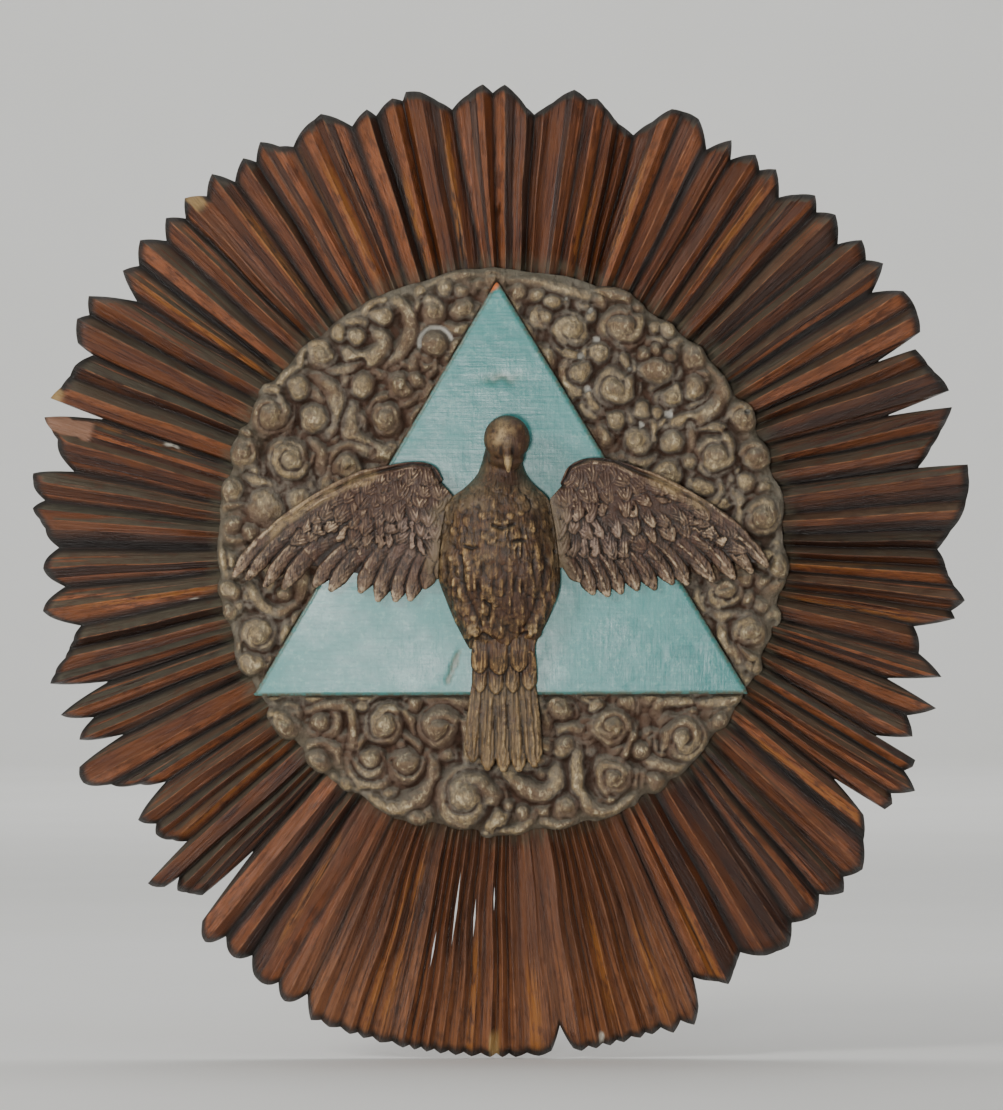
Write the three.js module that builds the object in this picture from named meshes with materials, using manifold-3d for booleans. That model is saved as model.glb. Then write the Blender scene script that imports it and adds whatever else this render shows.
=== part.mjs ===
import * as THREE from "three";
import Module from "manifold-3d";

const wasm = await Module();
wasm.setup();
const { Manifold, Mesh } = wasm;

// Everything is drawn as a relief: x to the right, y up, z out of the wall, in millimetres,
// from the middle of the medallion's flat back. The finished pieces are turned to face -Y at the end.

// Driving sizes
const rayInnerRadius = 203;
const rayCrestInner = 19;
const rayCrestOuter = 14;
const rayValleyInner = 9;
const rayValleyOuter = 5;
const rayHeightRadius = 340;
const tipBevelLength = 9;
const tipBevelDrop = 6.5;
const jointGap = 0.3;

const coreRadius = 200;
const rimRadius = 216;
const flangeBottom = 19.5;
const rimTop = 22.5;
const cloudGround = 24;
const cloudSink = 2;

const triangleApex = [-3.4, 201.5];
const triangleLeft = [-185.5, -109];
const triangleRight = [185, -107.5];
const triangleBack = 24.3;
const triangleFace = 32;

const doveBack = 32.3;
const headCentre = [4, 82.5, 60];
const headRadius = 17.2;
const tailBack = 36.3;

const degree = Math.PI / 180;

// Small helpers

function solidFromFaces(points, faces) {
  const mesh = new Mesh({
    numProp: 3,
    vertProperties: new Float32Array(points.flat()),
    triVerts: new Uint32Array(faces.flat()),
  });
  return new Manifold(mesh);
}

function joined(solids) {
  return solids.reduce((whole, solid) => whole.add(solid));
}

// A solid made of equal closed sections one after the other; each section is a list of points
function lofted(sections) {
  const count = sections[0].length;
  const points = sections.flat();
  const faces = [];
  for (let s = 0; s + 1 < sections.length; s += 1) {
    for (let i = 0; i < count; i += 1) {
      const a = s * count + i;
      const b = s * count + ((i + 1) % count);
      faces.push([a, b, b + count], [a, b + count, a + count]);
    }
  }
  const last = (sections.length - 1) * count;
  for (let i = 1; i + 1 < count; i += 1) {
    faces.push([0, i + 1, i], [last, last + i, last + i + 1]);
  }
  return facingOut(points, faces);
}

function facingOut(points, faces) {
  let volume = 0;
  for (const [a, b, c] of faces) {
    const p = new THREE.Vector3(...points[a]);
    const q = new THREE.Vector3(...points[b]);
    const r = new THREE.Vector3(...points[c]);
    volume += p.dot(q.cross(r));
  }
  const outward = volume < 0 ? faces.map(([a, b, c]) => [a, c, b]) : faces;
  return solidFromFaces(points, outward);
}

// A flat plate with a given outline between two heights
function plate(drawn, back, front) {
  const clockwise = THREE.ShapeUtils.isClockWise(drawn.map(([x, y]) => new THREE.Vector2(x, y)));
  const outline = clockwise ? [...drawn].reverse() : drawn;
  const bottom = outline.map(([x, y]) => [x, y, back]);
  const top = outline.map(([x, y]) => [x, y, front]);
  const faces = [];
  const count = outline.length;
  const contour = outline.map(([x, y]) => new THREE.Vector2(x, y));
  for (const [a, b, c] of THREE.ShapeUtils.triangulateShape(contour, [])) {
    faces.push([a, c, b], [a + count, b + count, c + count]);
  }
  for (let i = 0; i < count; i += 1) {
    const j = (i + 1) % count;
    faces.push([i, j, j + count], [i, j + count, i + count]);
  }
  return facingOut([...bottom, ...top], faces);
}

// A round solid about an upright axis; the profile rises from its rim to the axis
function domeOf(x, y, profile, sides, back) {
  const points = [[x, y, back]];
  const faces = [];
  const rings = [[profile[0][0], back], ...profile.slice(0, -1)];
  for (const [radius, height] of rings) {
    for (let i = 0; i < sides; i += 1) {
      const angle = (i / sides) * 2 * Math.PI;
      points.push([x + radius * Math.cos(angle), y + radius * Math.sin(angle), height]);
    }
  }
  points.push([x, y, profile[profile.length - 1][1]]);
  const top = points.length - 1;
  for (let i = 0; i < sides; i += 1) {
    const j = (i + 1) % sides;
    faces.push([0, 1 + j, 1 + i]);
    for (let r = 0; r + 1 < rings.length; r += 1) {
      const low = 1 + r * sides;
      const high = low + sides;
      faces.push([low + i, low + j, high + j], [low + i, high + j, high + i]);
    }
    const last = 1 + (rings.length - 1) * sides;
    faces.push([last + i, last + j, top]);
  }
  return facingOut(points, faces);
}

// Rays. Each board is a fan of straight lines from the medallion outwards, listed clockwise.
// A line has its bearing and reach at the outline, and its lean: how far round its inner end lies.

const tip = (bearing, reach, lean = 0) => ({ bearing, reach, lean, rise: 1 });
const edge = (bearing, reach, lean = 0) => ({ bearing, reach, lean, rise: 0.6 });
const groove = (bearing, reach, lean = 0) => ({ bearing, reach, lean, rise: 0.4 });
const notch = (bearing, reach, lean = 0) => ({ bearing, reach, lean, rise: 0 });

const topRays = [
  notch(-71.8, 314.5, -0.4), edge(-71.4, 357.5, -0.2), tip(-69.7, 352.5, 0.8), notch(-68, 349.5, 1.6),
  tip(-66.6, 349, 1.3), notch(-64.5, 340, 0.9), edge(-64, 354, 0.7), tip(-61.4, 363, 1.3),
  notch(-60.3, 356.5, 1.8), tip(-58.4, 364, 2.2), notch(-55.7, 331.5, 2.1), tip(-53.6, 353.5, 1),
  notch(-51.9, 346, 0.6), tip(-49.4, 357.5, 0.6), notch(-47.3, 342.5, 0.6), tip(-45.3, 354.5, 0.9),
  notch(-43.6, 344, 1.4), tip(-42, 355.5, 0.6), groove(-39.8, 346, 0.2), tip(-37.6, 356.5, -0.3),
  notch(-35.9, 341.5, -0.7), tip(-33.4, 352.5, -0.5), notch(-32.3, 345, -0.6), tip(-30.6, 356, -0.3),
  edge(-28.8, 346, 0.1), notch(-27.3, 341, -0.4), tip(-24.6, 351, 0), groove(-23.5, 352.5, 0.5),
  tip(-22.5, 354.5, 0.2), notch(-19.4, 337.5, -0.3), tip(-17, 346, 0.2), notch(-16.1, 339.5, 0.6),
  tip(-13.6, 349, 0), notch(-12.4, 345.5, -0.3), tip(-11.8, 351.5, 0), tip(-10.1, 349.5, 0.8),
  groove(-9, 345, 0.9), tip(-8, 340, 1.4), notch(-6.4, 333, 2.5), tip(-4.2, 343, 2),
  tip(-2.3, 350, 0.9), notch(-1.1, 343.5, 0.3), tip(0.4, 349.5, 0.4), groove(1.8, 342.5, 0.5),
  tip(3.2, 333, 0.7), notch(4.3, 328, 0.5), tip(5.4, 333, 0.7), groove(6.5, 338, 0.9),
  tip(9, 350, 0.9), notch(10.8, 344.5, 1.1), tip(12, 346.5, 1.4), notch(13.2, 341.5, 2),
  tip(14.6, 335, 2.5), notch(15.4, 332, 2.6), tip(16.6, 329.5, 2.2), notch(17.6, 327, 1.6),
  tip(19.4, 341, 0.9), tip(21.1, 355, 0.6), notch(22.4, 356.5, 0.4), tip(24.6, 356, 0.3),
  notch(27.1, 338, -0.4), tip(29.3, 353, -0.3), notch(30.4, 340, -0.7), tip(32.7, 353, 0),
  notch(34.2, 345, 0.3), tip(35.8, 352.5, 0), notch(38.2, 337, -0.4), tip(39.7, 347, -0.6),
  tip(41.5, 355.5, -0.7), notch(43, 347, -0.9), tip(44.9, 355.5, -1.3), notch(47.7, 341.5, -1.9),
  tip(49.3, 357, -1.4), notch(51.5, 350, -0.9), tip(53.1, 358.5, -1.2), notch(55.2, 339, -1.6),
  tip(57.2, 359, -0.9), notch(59.4, 360.5, -1.3), tip(60.5, 359, -1.4), edge(62.5, 354.5, -1.6),
  notch(63.4, 316, -1.9),
];

const upperRightRays = [
  notch(63.4, 316, -1.9), edge(64.1, 345.5, -2), tip(64.9, 347, -2.3), notch(66.5, 349.3, -3),
  tip(67.6, 351.5, -2.9), edge(70.4, 357, -3.2), notch(70.8, 307, -3),
];

const chippedRightRays = [
  notch(70.8, 307, -3), edge(72.4, 355, -3.2), tip(73.6, 349, -2.8), notch(74.8, 342, -2.8),
  tip(76.5, 332, -2.5), notch(78.8, 319, -2.1),
];

const rightRays = [
  notch(78.8, 319, -2.1), edge(79.6, 356, -1.7), tip(80.6, 355.3, -1.4), notch(83.9, 351, -1.2),
  tip(85.1, 348.5, -1.1), notch(87.6, 337.5, -0.9), tip(88.9, 332, -0.9), notch(89.9, 327.5, -1),
  tip(91.2, 332, -0.9), notch(92.2, 334, -0.8), tip(93.2, 336, -0.6), notch(94.5, 341, -0.5),
  tip(96.2, 350, -0.4), notch(97.7, 341, -0.1), tip(98.6, 344.5, -0.4), notch(100.5, 315, -1),
  tip(101.9, 320, -0.8), notch(103.9, 323, 0), tip(106.1, 344, -0.5), notch(108.4, 305, -1),
];

const lowerRightRays = [
  notch(108.4, 305, -1), tip(110, 347.5, -1), notch(112.2, 329, -1.6), tip(114.4, 339, -2.4),
  notch(116.4, 313.5, -3),
];

const lowRightRays = [
  notch(116.4, 313.5, -3), edge(116.9, 348.5, -2.6), tip(117.8, 349, -2.2), notch(118.7, 345, -1.7),
  tip(120.2, 359.5, -1.3), notch(122, 345, -1.1), tip(123, 350, -1.5), edge(124.1, 347.5, -2.1),
  notch(124.5, 303, -2.2),
];

const bottomRightRays = [
  notch(124.5, 303, -2.2), tip(126.2, 337, -1.9), notch(128.7, 348.5, -1.5), tip(131.5, 362, -1.1),
  notch(133.7, 355.5, -1.3), tip(135, 363.5, -1.3), edge(136, 360, -1.4), notch(137.3, 352, -1.7),
  tip(139.2, 361.5, -2), notch(142.1, 355, -3.2), tip(144, 367.5, -2.5), groove(145.6, 365.5, -2.2),
  tip(146.9, 363.5, -1.9), notch(149.3, 351.5, -1.8), tip(150.2, 356, -1.3), groove(151.1, 361, -1),
  tip(152.4, 368, -0.8), groove(153.3, 363, -0.6), tip(154, 360, -0.5), notch(155.8, 352, -0.3),
];

// The bottom board is finely ribbed: its ribs reach evenly to a cut edge, with small dips between
const bottomRibs = [
  157.9, 160.4, 162.7, 164.1, 166, 167.6, 169.2, 170.9, 175.8, 178.4, 179.9, 181.3, 183.4, 185.2,
  186.9, 188.5, 189.9, 191.2, 193.9, 195.8, 197.4, 199.9, 202.1,
];
const bottomReach = 381;
const bottomDip = 3;
const bottomNotch = [173, 359.5, 0.6];
const ribLean = (bearing) => Math.min(0, (195 - bearing) * 0.17);

function bottomRays() {
  const [notchBearing] = bottomNotch;
  const lines = [notch(155.8, 352, -0.3), edge(156.6, 373, 0)];
  bottomRibs.forEach((bearing, i) => {
    const next = bottomRibs[i + 1];
    lines.push(tip(bearing, bottomReach + (i < 2 ? 4 : 0), ribLean(bearing)));
    if (bearing < notchBearing && next > notchBearing) {
      lines.push(edge(notchBearing - 1.2, bottomReach - 3, 0.4));
      lines.push(notch(...bottomNotch));
      lines.push(edge(notchBearing + 1.3, bottomReach - 3, 0.4));
    } else if (next) {
      const middle = (bearing + next) / 2;
      lines.push(notch(middle, bottomReach - bottomDip, ribLean(middle)));
    }
  });
  lines.push(notch(203.6, 364, -1.9));
  return lines;
}

const bottomLeftRays = [
  notch(203.6, 364, -1.9), tip(205.7, 376, -2.6), notch(207.3, 365.5, -3), edge(208.3, 371, -2.4),
  tip(209.6, 371, -1.8), notch(211.6, 357.5, -1.8), tip(213.3, 366, -2.4), notch(215.5, 356.5, -3.2),
  tip(217.1, 369, -2.2), edge(218.9, 358, -1.2), notch(219.5, 292.5, -1.1),
];

const lowerLeftRays = [
  notch(219.5, 292.5, -1.1), edge(220.9, 343, -1.9), tip(221.8, 346.5, -2.1), groove(222.6, 349.5, -2.3),
  tip(223.6, 353, -2.5), notch(224.6, 345, -2.8), edge(225, 358, -2.6), tip(226.7, 365, -1.2),
  notch(227.2, 322, -0.6), tip(228.6, 329, -0.8), groove(229.8, 335, -1.1), tip(230.6, 336, -1.4),
  notch(231.6, 331, -1.5), tip(233.4, 340, -1), notch(235.4, 306.5, -0.7), tip(237, 323, -0.9),
  notch(239, 342, -1.2), tip(240.9, 359.5, -1.1), edge(242.8, 356.5, -0.4), notch(244, 316, -0.1),
  tip(245.8, 347.5, -0.6), notch(247.7, 331, -0.8), tip(249.5, 353.5, -0.3), notch(251.5, 311.5, 0),
];

const leftRays = [
  notch(251.5, 311.5, 0), tip(253.5, 353.5, -0.2), groove(254.5, 348, -0.2), tip(256.1, 337.5, -0.3),
  notch(257, 333.5, 0.1), tip(258.1, 328.5, 0.6), notch(259.8, 321, 1.2), tip(262.4, 347.5, 0.8),
  notch(265.2, 329, 0.5), tip(267.7, 344.5, 0.2), notch(270.3, 332.5, -0.2), groove(272.7, 343, -0.1),
  tip(273.8, 347.5, -0.2), edge(275.1, 353.5, -0.5), notch(276.2, 345, -0.9), tip(278.4, 355.5, -1),
  edge(279.3, 356.5, -1), notch(280.4, 326.5, -1), tip(284, 343.5, -1.4), groove(284.9, 349.5, -1.2),
  edge(286.2, 357.5, -0.9), notch(288.2, 314.5, -0.4),
];

function onBearing(bearing, radius, height) {
  const angle = bearing * degree;
  return [radius * Math.sin(angle), radius * Math.cos(angle), height];
}

// Height of a ray line at a radius, between the valley floor and the crest
function rayHeight(radius, rise) {
  const along = (radius - rayInnerRadius) / (rayHeightRadius - rayInnerRadius);
  const crest = rayCrestInner + (rayCrestOuter - rayCrestInner) * along;
  const valley = rayValleyInner + (rayValleyOuter - rayValleyInner) * along;
  return Math.max(valley + (crest - valley) * rise, 3);
}

// One line of the fan as a closed upright section from the back, over the bevelled tip
function raySection(line, sideways) {
  const innerBearing = line.bearing + line.lean + sideways / rayInnerRadius / degree;
  const outerBearing = line.bearing + sideways / line.reach / degree;
  const [innerX, innerY] = onBearing(innerBearing, rayInnerRadius, 0);
  const [outerX, outerY] = onBearing(outerBearing, line.reach, 0);
  const bevelStart = line.reach - tipBevelLength;
  const share = (bevelStart - rayInnerRadius) / (line.reach - rayInnerRadius);
  const bevelX = innerX + (outerX - innerX) * share;
  const bevelY = innerY + (outerY - innerY) * share;
  const tipHeight = rayHeight(line.reach, line.rise) - tipBevelDrop * line.rise;
  return [
    [innerX, innerY, 0],
    [outerX, outerY, 0],
    [outerX, outerY, tipHeight],
    [bevelX, bevelY, rayHeight(bevelStart, line.rise)],
    [innerX, innerY, rayHeight(rayInnerRadius, line.rise)],
  ];
}

function rayBoard(lines) {
  const last = lines.length - 1;
  const sections = lines.map((line, i) => {
    if (i === 0) return raySection(line, jointGap / 2);
    return raySection(line, i === last ? -jointGap / 2 : 0);
  });
  return lofted(sections);
}

// Bearing, inner end, outer end and width
const bottomCracks = [
  [187.2, 243, 300, 1.6], [184.2, 262, 292, 1.4], [181.2, 252, 272, 1], [189.7, 290, 318, 1.2],
];

// A narrow open crack along a ray, pointed at both ends
function crack(bearing, from, to, width) {
  const middle = (from + to) / 2;
  const half = (width / 2 / middle) / degree;
  const outline = [
    onBearing(bearing, from, 0),
    onBearing(bearing + half, middle, 0),
    onBearing(bearing, to, 0),
    onBearing(bearing - half, middle, 0),
  ];
  return plate(outline, -5, 40);
}

function bottomBoard() {
  const cracks = bottomCracks.map((parts) => crack(...parts));
  return rayBoard(bottomRays()).subtract(joined(cracks));
}

// Clouds. Curls are listed by place and radius; the kinds differ in section.

const bosses = [
  [-88.9, 176.3, 9], [-118.9, 161.3, 8], [-151.9, 120.8, 9.5], [-139.1, 96.8, 13.5],
  [-77.6, 122.3, 12], [-88.1, 97, 12], [-193.1, 74.3, 10], [-203.6, 45, 8],
  [-151.1, 36.8, 11], [-203.6, -35, 9], [-188.6, -87, 13],
  [-97.9, -158.3, 10], [-67.9, -159.8, 12], [44.6, -119.3, 10], [46.9, -145, 10],
  [46.9, -191.3, 10], [116.6, -174, 8.5], [163.1, -33, 15], [193.1, -87.8, 8], [207.4, -14.3, 9],
  [91.1, 172.5, 19], [57.4, 137, 9], [142, 146.3, 10], [127.6, 117.5, 9],
  [104.6, 103.8, 8], [102.4, 81, 9], [127.1, 83, 11], [187.9, 74.3, 13.5], [178.1, 99, 10.5],
  [124.9, 59.3, 12], [-26, 184, 8], [-52.1, 153, 12], [180, 48, 8],
];

// Rounded ridges that curl about a centre: place, radius, first and last bearing, and a boss inside
const rings = [
  [-103.9, 157.5, 15, -120, 150, 8], [-172.9, 101.3, 15.5, -150, 130, 8], [-158.6, 69.8, 16, -170, 140, 8],
  [-121.1, 72.8, 14, -100, 170, 0], [-176.6, 33, 15.5, -150, 150, 0], [-160.9, -133.5, 10, -90, 160, 0],
  [-125, -152, 12, -100, 150, 0], [-87.4, -129.8, 15, -160, 140, 0], [-46.1, -132, 16.5, -160, 150, 7],
  [-23.6, -185.3, 22.5, -170, 160, 11], [82.1, -132, 14.5, -150, 160, 0], [82.9, -172.5, 15, -120, 190, 0],
  [136.9, -144, 18, -150, 190, 8], [183.4, -58.5, 13.5, -100, 160, 0], [196.9, 23.3, 16, -160, 130, 9],
  [51.4, 166.5, 14.5, 40, 330, 0], [115.9, 139.5, 14, -160, 130, 8], [85.9, 123.3, 15.5, 30, 330, 0],
  [160.9, 70.5, 15, -150, 150, 0],
];

// Long crescents and tails: start, middle, end and half width
const sweeps = [
  [[-144.4, 132], [-127, 119], [-119, 104], 5], [[-108.4, 102.8], [-104.9, 85.5], [-92.6, 79.5], 4.5],
  [[-190, -27.8], [-172.9, -46.5], [-156.4, -38.3], 5], [[-192, -66], [-181.9, -56], [-168.4, -63.8], 5],
  [[-97.9, -183], [-76, -187.5], [-55, -177.8], 5.5], [[5.6, -168.8], [25.9, -183], [43.1, -169.5], 6.5],
  [[106, -135], [105, -150], [114, -162], 5],
  [[159.4, 129], [163.1, 113.3], [146, 98.3], 5.5], [[-82, 187], [-66, 171], [-76, 150], 5],
];

function boss([x, y, radius]) {
  const height = 3 + radius * 0.62;
  const rim = [radius * 1.1, cloudGround + 0.5];
  const shoulder = [radius * 0.75, cloudGround + height * 0.75];
  const upper = [radius * 0.4, cloudGround + height * 0.96];
  const crown = [0, cloudGround + height];
  const large = radius > 13.5;
  const profile = large ? [rim, shoulder, upper, crown] : [rim, shoulder, crown];
  return domeOf(x, y, profile, large ? 8 : 6, cloudGround - cloudSink);
}

// A low ridge with a roof-like top along a path, narrowing towards both ends
function ridge(path, halfWidth, height) {
  const sections = path.map(([x, y], i) => {
    const before = path[Math.max(i - 1, 0)];
    const after = path[Math.min(i + 1, path.length - 1)];
    const along = Math.hypot(after[0] - before[0], after[1] - before[1]);
    const across = [(after[1] - before[1]) / along, (before[0] - after[0]) / along];
    const ended = i === 0 || i === path.length - 1;
    const width = halfWidth * (ended ? 0.45 : 1);
    const top = cloudGround + height * (ended ? 0.6 : 1);
    const at = (side, z) => [x + across[0] * side, y + across[1] * side, z];
    return [at(-width, cloudGround - cloudSink), at(width, cloudGround - cloudSink), at(0, top)];
  });
  return lofted(sections);
}

const ringStep = 62;

function ring([x, y, radius, from, to, inside]) {
  const steps = Math.round((to - from) / ringStep);
  const path = [];
  for (let i = 0; i <= steps; i += 1) {
    const [dx, dy] = onBearing(from + ((to - from) * i) / steps, radius * 0.8, 0);
    path.push([x + dx, y + dy]);
  }
  const curl = ridge(path, radius * 0.36, 4 + radius * 0.42);
  return inside ? curl.add(boss([x, y, inside])) : curl;
}

function sweep([start, middle, end, halfWidth]) {
  const path = [];
  const steps = 3;
  for (let i = 0; i <= steps; i += 1) {
    const t = i / steps;
    const bend = [0, 1].map((k) => 2 * middle[k] - (start[k] + end[k]) / 2);
    path.push([0, 1].map((k) => (1 - t) ** 2 * start[k] + 2 * t * (1 - t) * bend[k] + t ** 2 * end[k]));
  }
  return ridge(path, halfWidth, 7);
}

const blockSides = 40;

// The round block behind the clouds: a core between the ray boards
// and a flange that covers their inner ends
function cloudBlock() {
  const sides = blockSides;
  const profile = [
    [rimRadius, flangeBottom],
    [rimRadius, rimTop],
    [rimRadius - 7, cloudGround],
    [0, cloudGround],
  ];
  const flange = domeOf(0, 0, profile, sides, flangeBottom);
  const core = domeOf(0, 0, [[coreRadius, flangeBottom + 1], [0, flangeBottom + 1]], sides, 0);
  return flange.add(core);
}

// A triangular plate whose edges are moved outwards by a margin
function trianglePlate(margin, back, front) {
  const corners = [triangleApex, triangleRight, triangleLeft];
  const middle = [0, 1].map((k) => corners.reduce((sum, corner) => sum + corner[k], 0) / 3);
  const grow = 1 + margin / 104;
  const outline = corners.map((corner) => [0, 1].map((k) => middle[k] + (corner[k] - middle[k]) * grow));
  return plate(outline, back, front);
}

function cloudDisc() {
  const curls = [...bosses.map(boss), ...rings.map(ring), ...sweeps.map(sweep)];
  const clouds = cloudBlock().add(joined(curls));
  const rimCut = domeOf(0, 0, [[rimRadius + 3, 80], [0, 80]], blockSides, -5);
  return clouds
    .intersect(rimCut)
    .subtract(trianglePlate(jointGap, triangleBack - jointGap, 80))
    .subtract(birdRoom());
}

// Dove. The body is lofted through round-topped sections from the neck to the rump.
// Each station: height up the plaque, left and right edge, crown of the section

const bodyStations = [
  [76, -14, 17, 61], [66, -15.5, 16.5, 60], [54, -22, 21, 62], [45, -34, 30, 66],
  [33, -41, 36.5, 71], [15, -44.5, 40, 75], [-5, -46.5, 42.5, 76], [-21, -47, 43.5, 74],
  [-36, -42, 40.5, 68], [-51, -36, 35.5, 61], [-66, -28.5, 27.5, 53],
];
const bodySides = 8;

function bodySection([y, left, right, crown], grow) {
  const middle = (left + right) / 2;
  const half = (right - left) / 2 + grow;
  const section = [];
  for (let i = 0; i <= bodySides; i += 1) {
    const angle = (i / bodySides) * Math.PI;
    const across = Math.cos(angle);
    const up = Math.sin(angle) ** 0.8;
    section.push([middle + half * across, y, doveBack + 3 + (crown + grow - doveBack - 3) * up]);
  }
  section.push([middle - half * 0.96, y, doveBack - grow], [middle + half * 0.96, y, doveBack - grow]);
  return section;
}

function ball([x, y, z], radius, sides, rings) {
  const sections = [];
  for (let r = 0; r <= rings; r += 1) {
    const polar = (r / rings) * Math.PI;
    const wide = Math.max(Math.sin(polar), 0.02) * radius;
    const section = [];
    for (let i = 0; i < sides; i += 1) {
      const angle = (i / sides) * 2 * Math.PI;
      section.push([x + wide * Math.cos(angle), y + Math.cos(polar) * radius, z + wide * Math.sin(angle)]);
    }
    sections.push(section);
  }
  return lofted(sections);
}

function beak() {
  const [x, y, z] = headCentre;
  const root = [[-3, y - 8, z + 12], [3, y - 8, z + 12], [3, y - 15, z + 6], [-3, y - 15, z + 6]];
  const end = [
    [-0.8, y - 23, z + 17], [0.8, y - 23, z + 17],
    [0.8, y - 24, z + 15.5], [-0.8, y - 24, z + 15.5],
  ];
  return lofted([root, end].map((section) => section.map(([dx, py, pz]) => [x + 0.8 + dx, py, pz])));
}

// A feather as a ridged plank from its root to a blunt point
function feather(root, end, halfWidth, back, edgeHeight, ridgeHeight) {
  const length = Math.hypot(end[0] - root[0], end[1] - root[1]);
  const along = [(end[0] - root[0]) / length, (end[1] - root[1]) / length];
  const section = (distance, half, low, high) => {
    const x = root[0] + along[0] * distance;
    const y = root[1] + along[1] * distance;
    const at = (side, z) => [x - along[1] * side, y + along[0] * side, z];
    return [at(-half, back), at(half, back), at(half, low), at(0, high), at(-half, low)];
  };
  return lofted([
    section(0, halfWidth * 0.7, edgeHeight, ridgeHeight),
    section(length * 0.78, halfWidth, edgeHeight, ridgeHeight),
    section(length, halfWidth * 0.3, edgeHeight - 1.4, edgeHeight - 0.8),
  ]);
}

const tailFeatherHeights = [41, 44.5];
const tailCovertHeights = [46, 48.5];
const rumpCovertHeights = [49, 51.5];
const tailRoots = [-21, -11.5, -1.5, 8.5, 19];
const tailEnds = [[-25, -153], [-12, -162], [3, -163.5], [15.5, -162], [26.5, -158]];
const tailCoverts = [
  [[-20, -74], [-19, -101], 7.5], [[-6, -74], [-6, -103], 7.5], [[8, -74], [9, -102], 7.5],
  [[20, -74], [20, -100], 6.5],
];
const rumpCoverts = [[[-16, -64], [-16, -88], 8], [[-1, -64], [-1, -89], 8.5], [[14, -64], [14, -87], 8]];

function tail() {
  const base = plate([[-26, -60], [26, -60], [29, -145], [-28, -145]], tailBack, tailBack + 2.5);
  const featherBack = tailBack + 1;
  const feathers = tailRoots.map((x, i) => (
    feather([x, -95], tailEnds[i], 6.4, featherBack, ...tailFeatherHeights)
  ));
  const covert = (heights) => ([root, end, half]) => feather(root, end, half, featherBack, ...heights);
  return joined([
    base,
    ...feathers,
    ...tailCoverts.map(covert(tailCovertHeights)),
    ...rumpCoverts.map(covert(rumpCovertHeights)),
  ]);
}

function foot(x) {
  return ball([x, -61.5, 50], 7, 6, 3);
}

function doveBody() {
  const trunk = lofted(bodyStations.map((station) => bodySection(station, 0)));
  return joined([trunk, ball(headCentre, headRadius, 9, 6), beak(), tail(), foot(-20.6), foot(23.6)]);
}

// Wings: long primaries under two rows of coverts, with a raised leading edge and a round shoulder

const leftWing = {
  base: [
    [-36, 50], [-60, 62], [-104, 58], [-162, 22], [-188, -8],
    [-165, -8], [-128, -14], [-80, -22], [-36, -12],
  ],
  primaries: [
    [[-145, 30], [-199, -19], 6], [[-134, 26], [-190, -21], 6], [[-128, 20], [-177, -26], 6.5],
    [[-120, 14], [-163, -27], 7], [[-107, 8], [-139, -26], 6.5], [[-95, 7], [-128, -28.5], 6.5],
    [[-79, 7], [-105, -30], 7], [[-70, 6], [-92.5, -36], 6.5], [[-61, 5], [-79, -36.5], 6.5],
    [[-52, 5], [-70, -36.5], 6.5], [[-46, 2], [-58, -27], 6.5], [[-38, -2], [-47, -20], 6],
  ],
  coverts: [
    [[-130, 27], [-133, 11], 7.5], [[-113, 26], [-117, 7.5], 8.5], [[-95, 25], [-98, 4.5], 9],
    [[-77, 24], [-79, 1.5], 9.5], [[-58, 23], [-58, 1], 9.5], [[-42, 22], [-42, 0], 8.5],
  ],
  upperCoverts: [
    [[-104, 46], [-106, 23], 8.5], [[-88, 48], [-89, 21], 9],
    [[-71, 46], [-71, 19], 9], [[-55, 46], [-54, 17], 9],
  ],
  arm: [
    [-196, -14, 3.5, 41], [-163, 22, 4.5, 42], [-132, 40, 5.5, 44],
    [-106, 54, 7.5, 47], [-78, 60, 8.5, 50], [-52, 56, 9, 50],
  ],
  shoulder: [-66, 48, 20, 53],
};

const rightWing = {
  base: [
    [36, 50], [60, 62], [106, 58], [174, 18], [190, -6],
    [165, -8], [128, -14], [80, -18], [36, -12],
  ],
  primaries: [
    [[149, 22], [197, -12], 6], [[141, 19], [186, -16], 6.5], [[132, 16], [174, -20], 6.5],
    [[122, 11], [158, -21], 7], [[109, 9], [139, -24], 7], [[99, 7], [128, -24], 6.5],
    [[88, 6], [114, -28], 6.5], [[78, 5], [101, -28.5], 6.5], [[68, 4], [89, -31], 6.5],
    [[60, 3], [80, -33], 6.5], [[52, 2], [69, -31], 6.5], [[44, 0], [59, -22], 6.5],
  ],
  coverts: [
    [[140, 27], [147, 6], 8], [[122, 27], [128, 6], 9], [[104, 26], [109, 4], 9.5],
    [[85, 25], [90, 2], 9.5], [[67, 24], [70, 1], 9.5], [[50, 22], [51, -2], 9],
  ],
  upperCoverts: [
    [[120, 42], [122, 24], 8.5], [[104, 46], [105, 22], 9],
    [[86, 48], [86, 20], 9], [[68, 46], [67, 18], 9],
  ],
  arm: [
    [197, -9, 3.5, 41], [176, 18, 4.5, 42], [143, 37, 5.5, 44],
    [110, 54, 7.5, 47], [82, 61, 8.5, 50], [56, 56, 9, 50],
  ],
  shoulder: [65, 48, 20, 53],
};

function arm(stations) {
  const sections = stations.map(([x, y, half, crown]) => [
    [x, y - half, doveBack + 1], [x, y + half, doveBack + 1], [x, y + half, crown - half * 0.6],
    [x, y + half * 0.2, crown], [x, y - half, crown - half * 0.6],
  ]);
  return lofted(sections);
}

// Edge height and ridge height of the feathers in each row
const primaryHeights = [36.5, 39.5];
const covertHeights = [41, 43.5];
const upperCovertHeights = [44.5, 47];

function featherRow(row, heights) {
  return row.map(([root, end, half]) => feather(root, end, half, doveBack + 1, ...heights));
}

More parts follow.
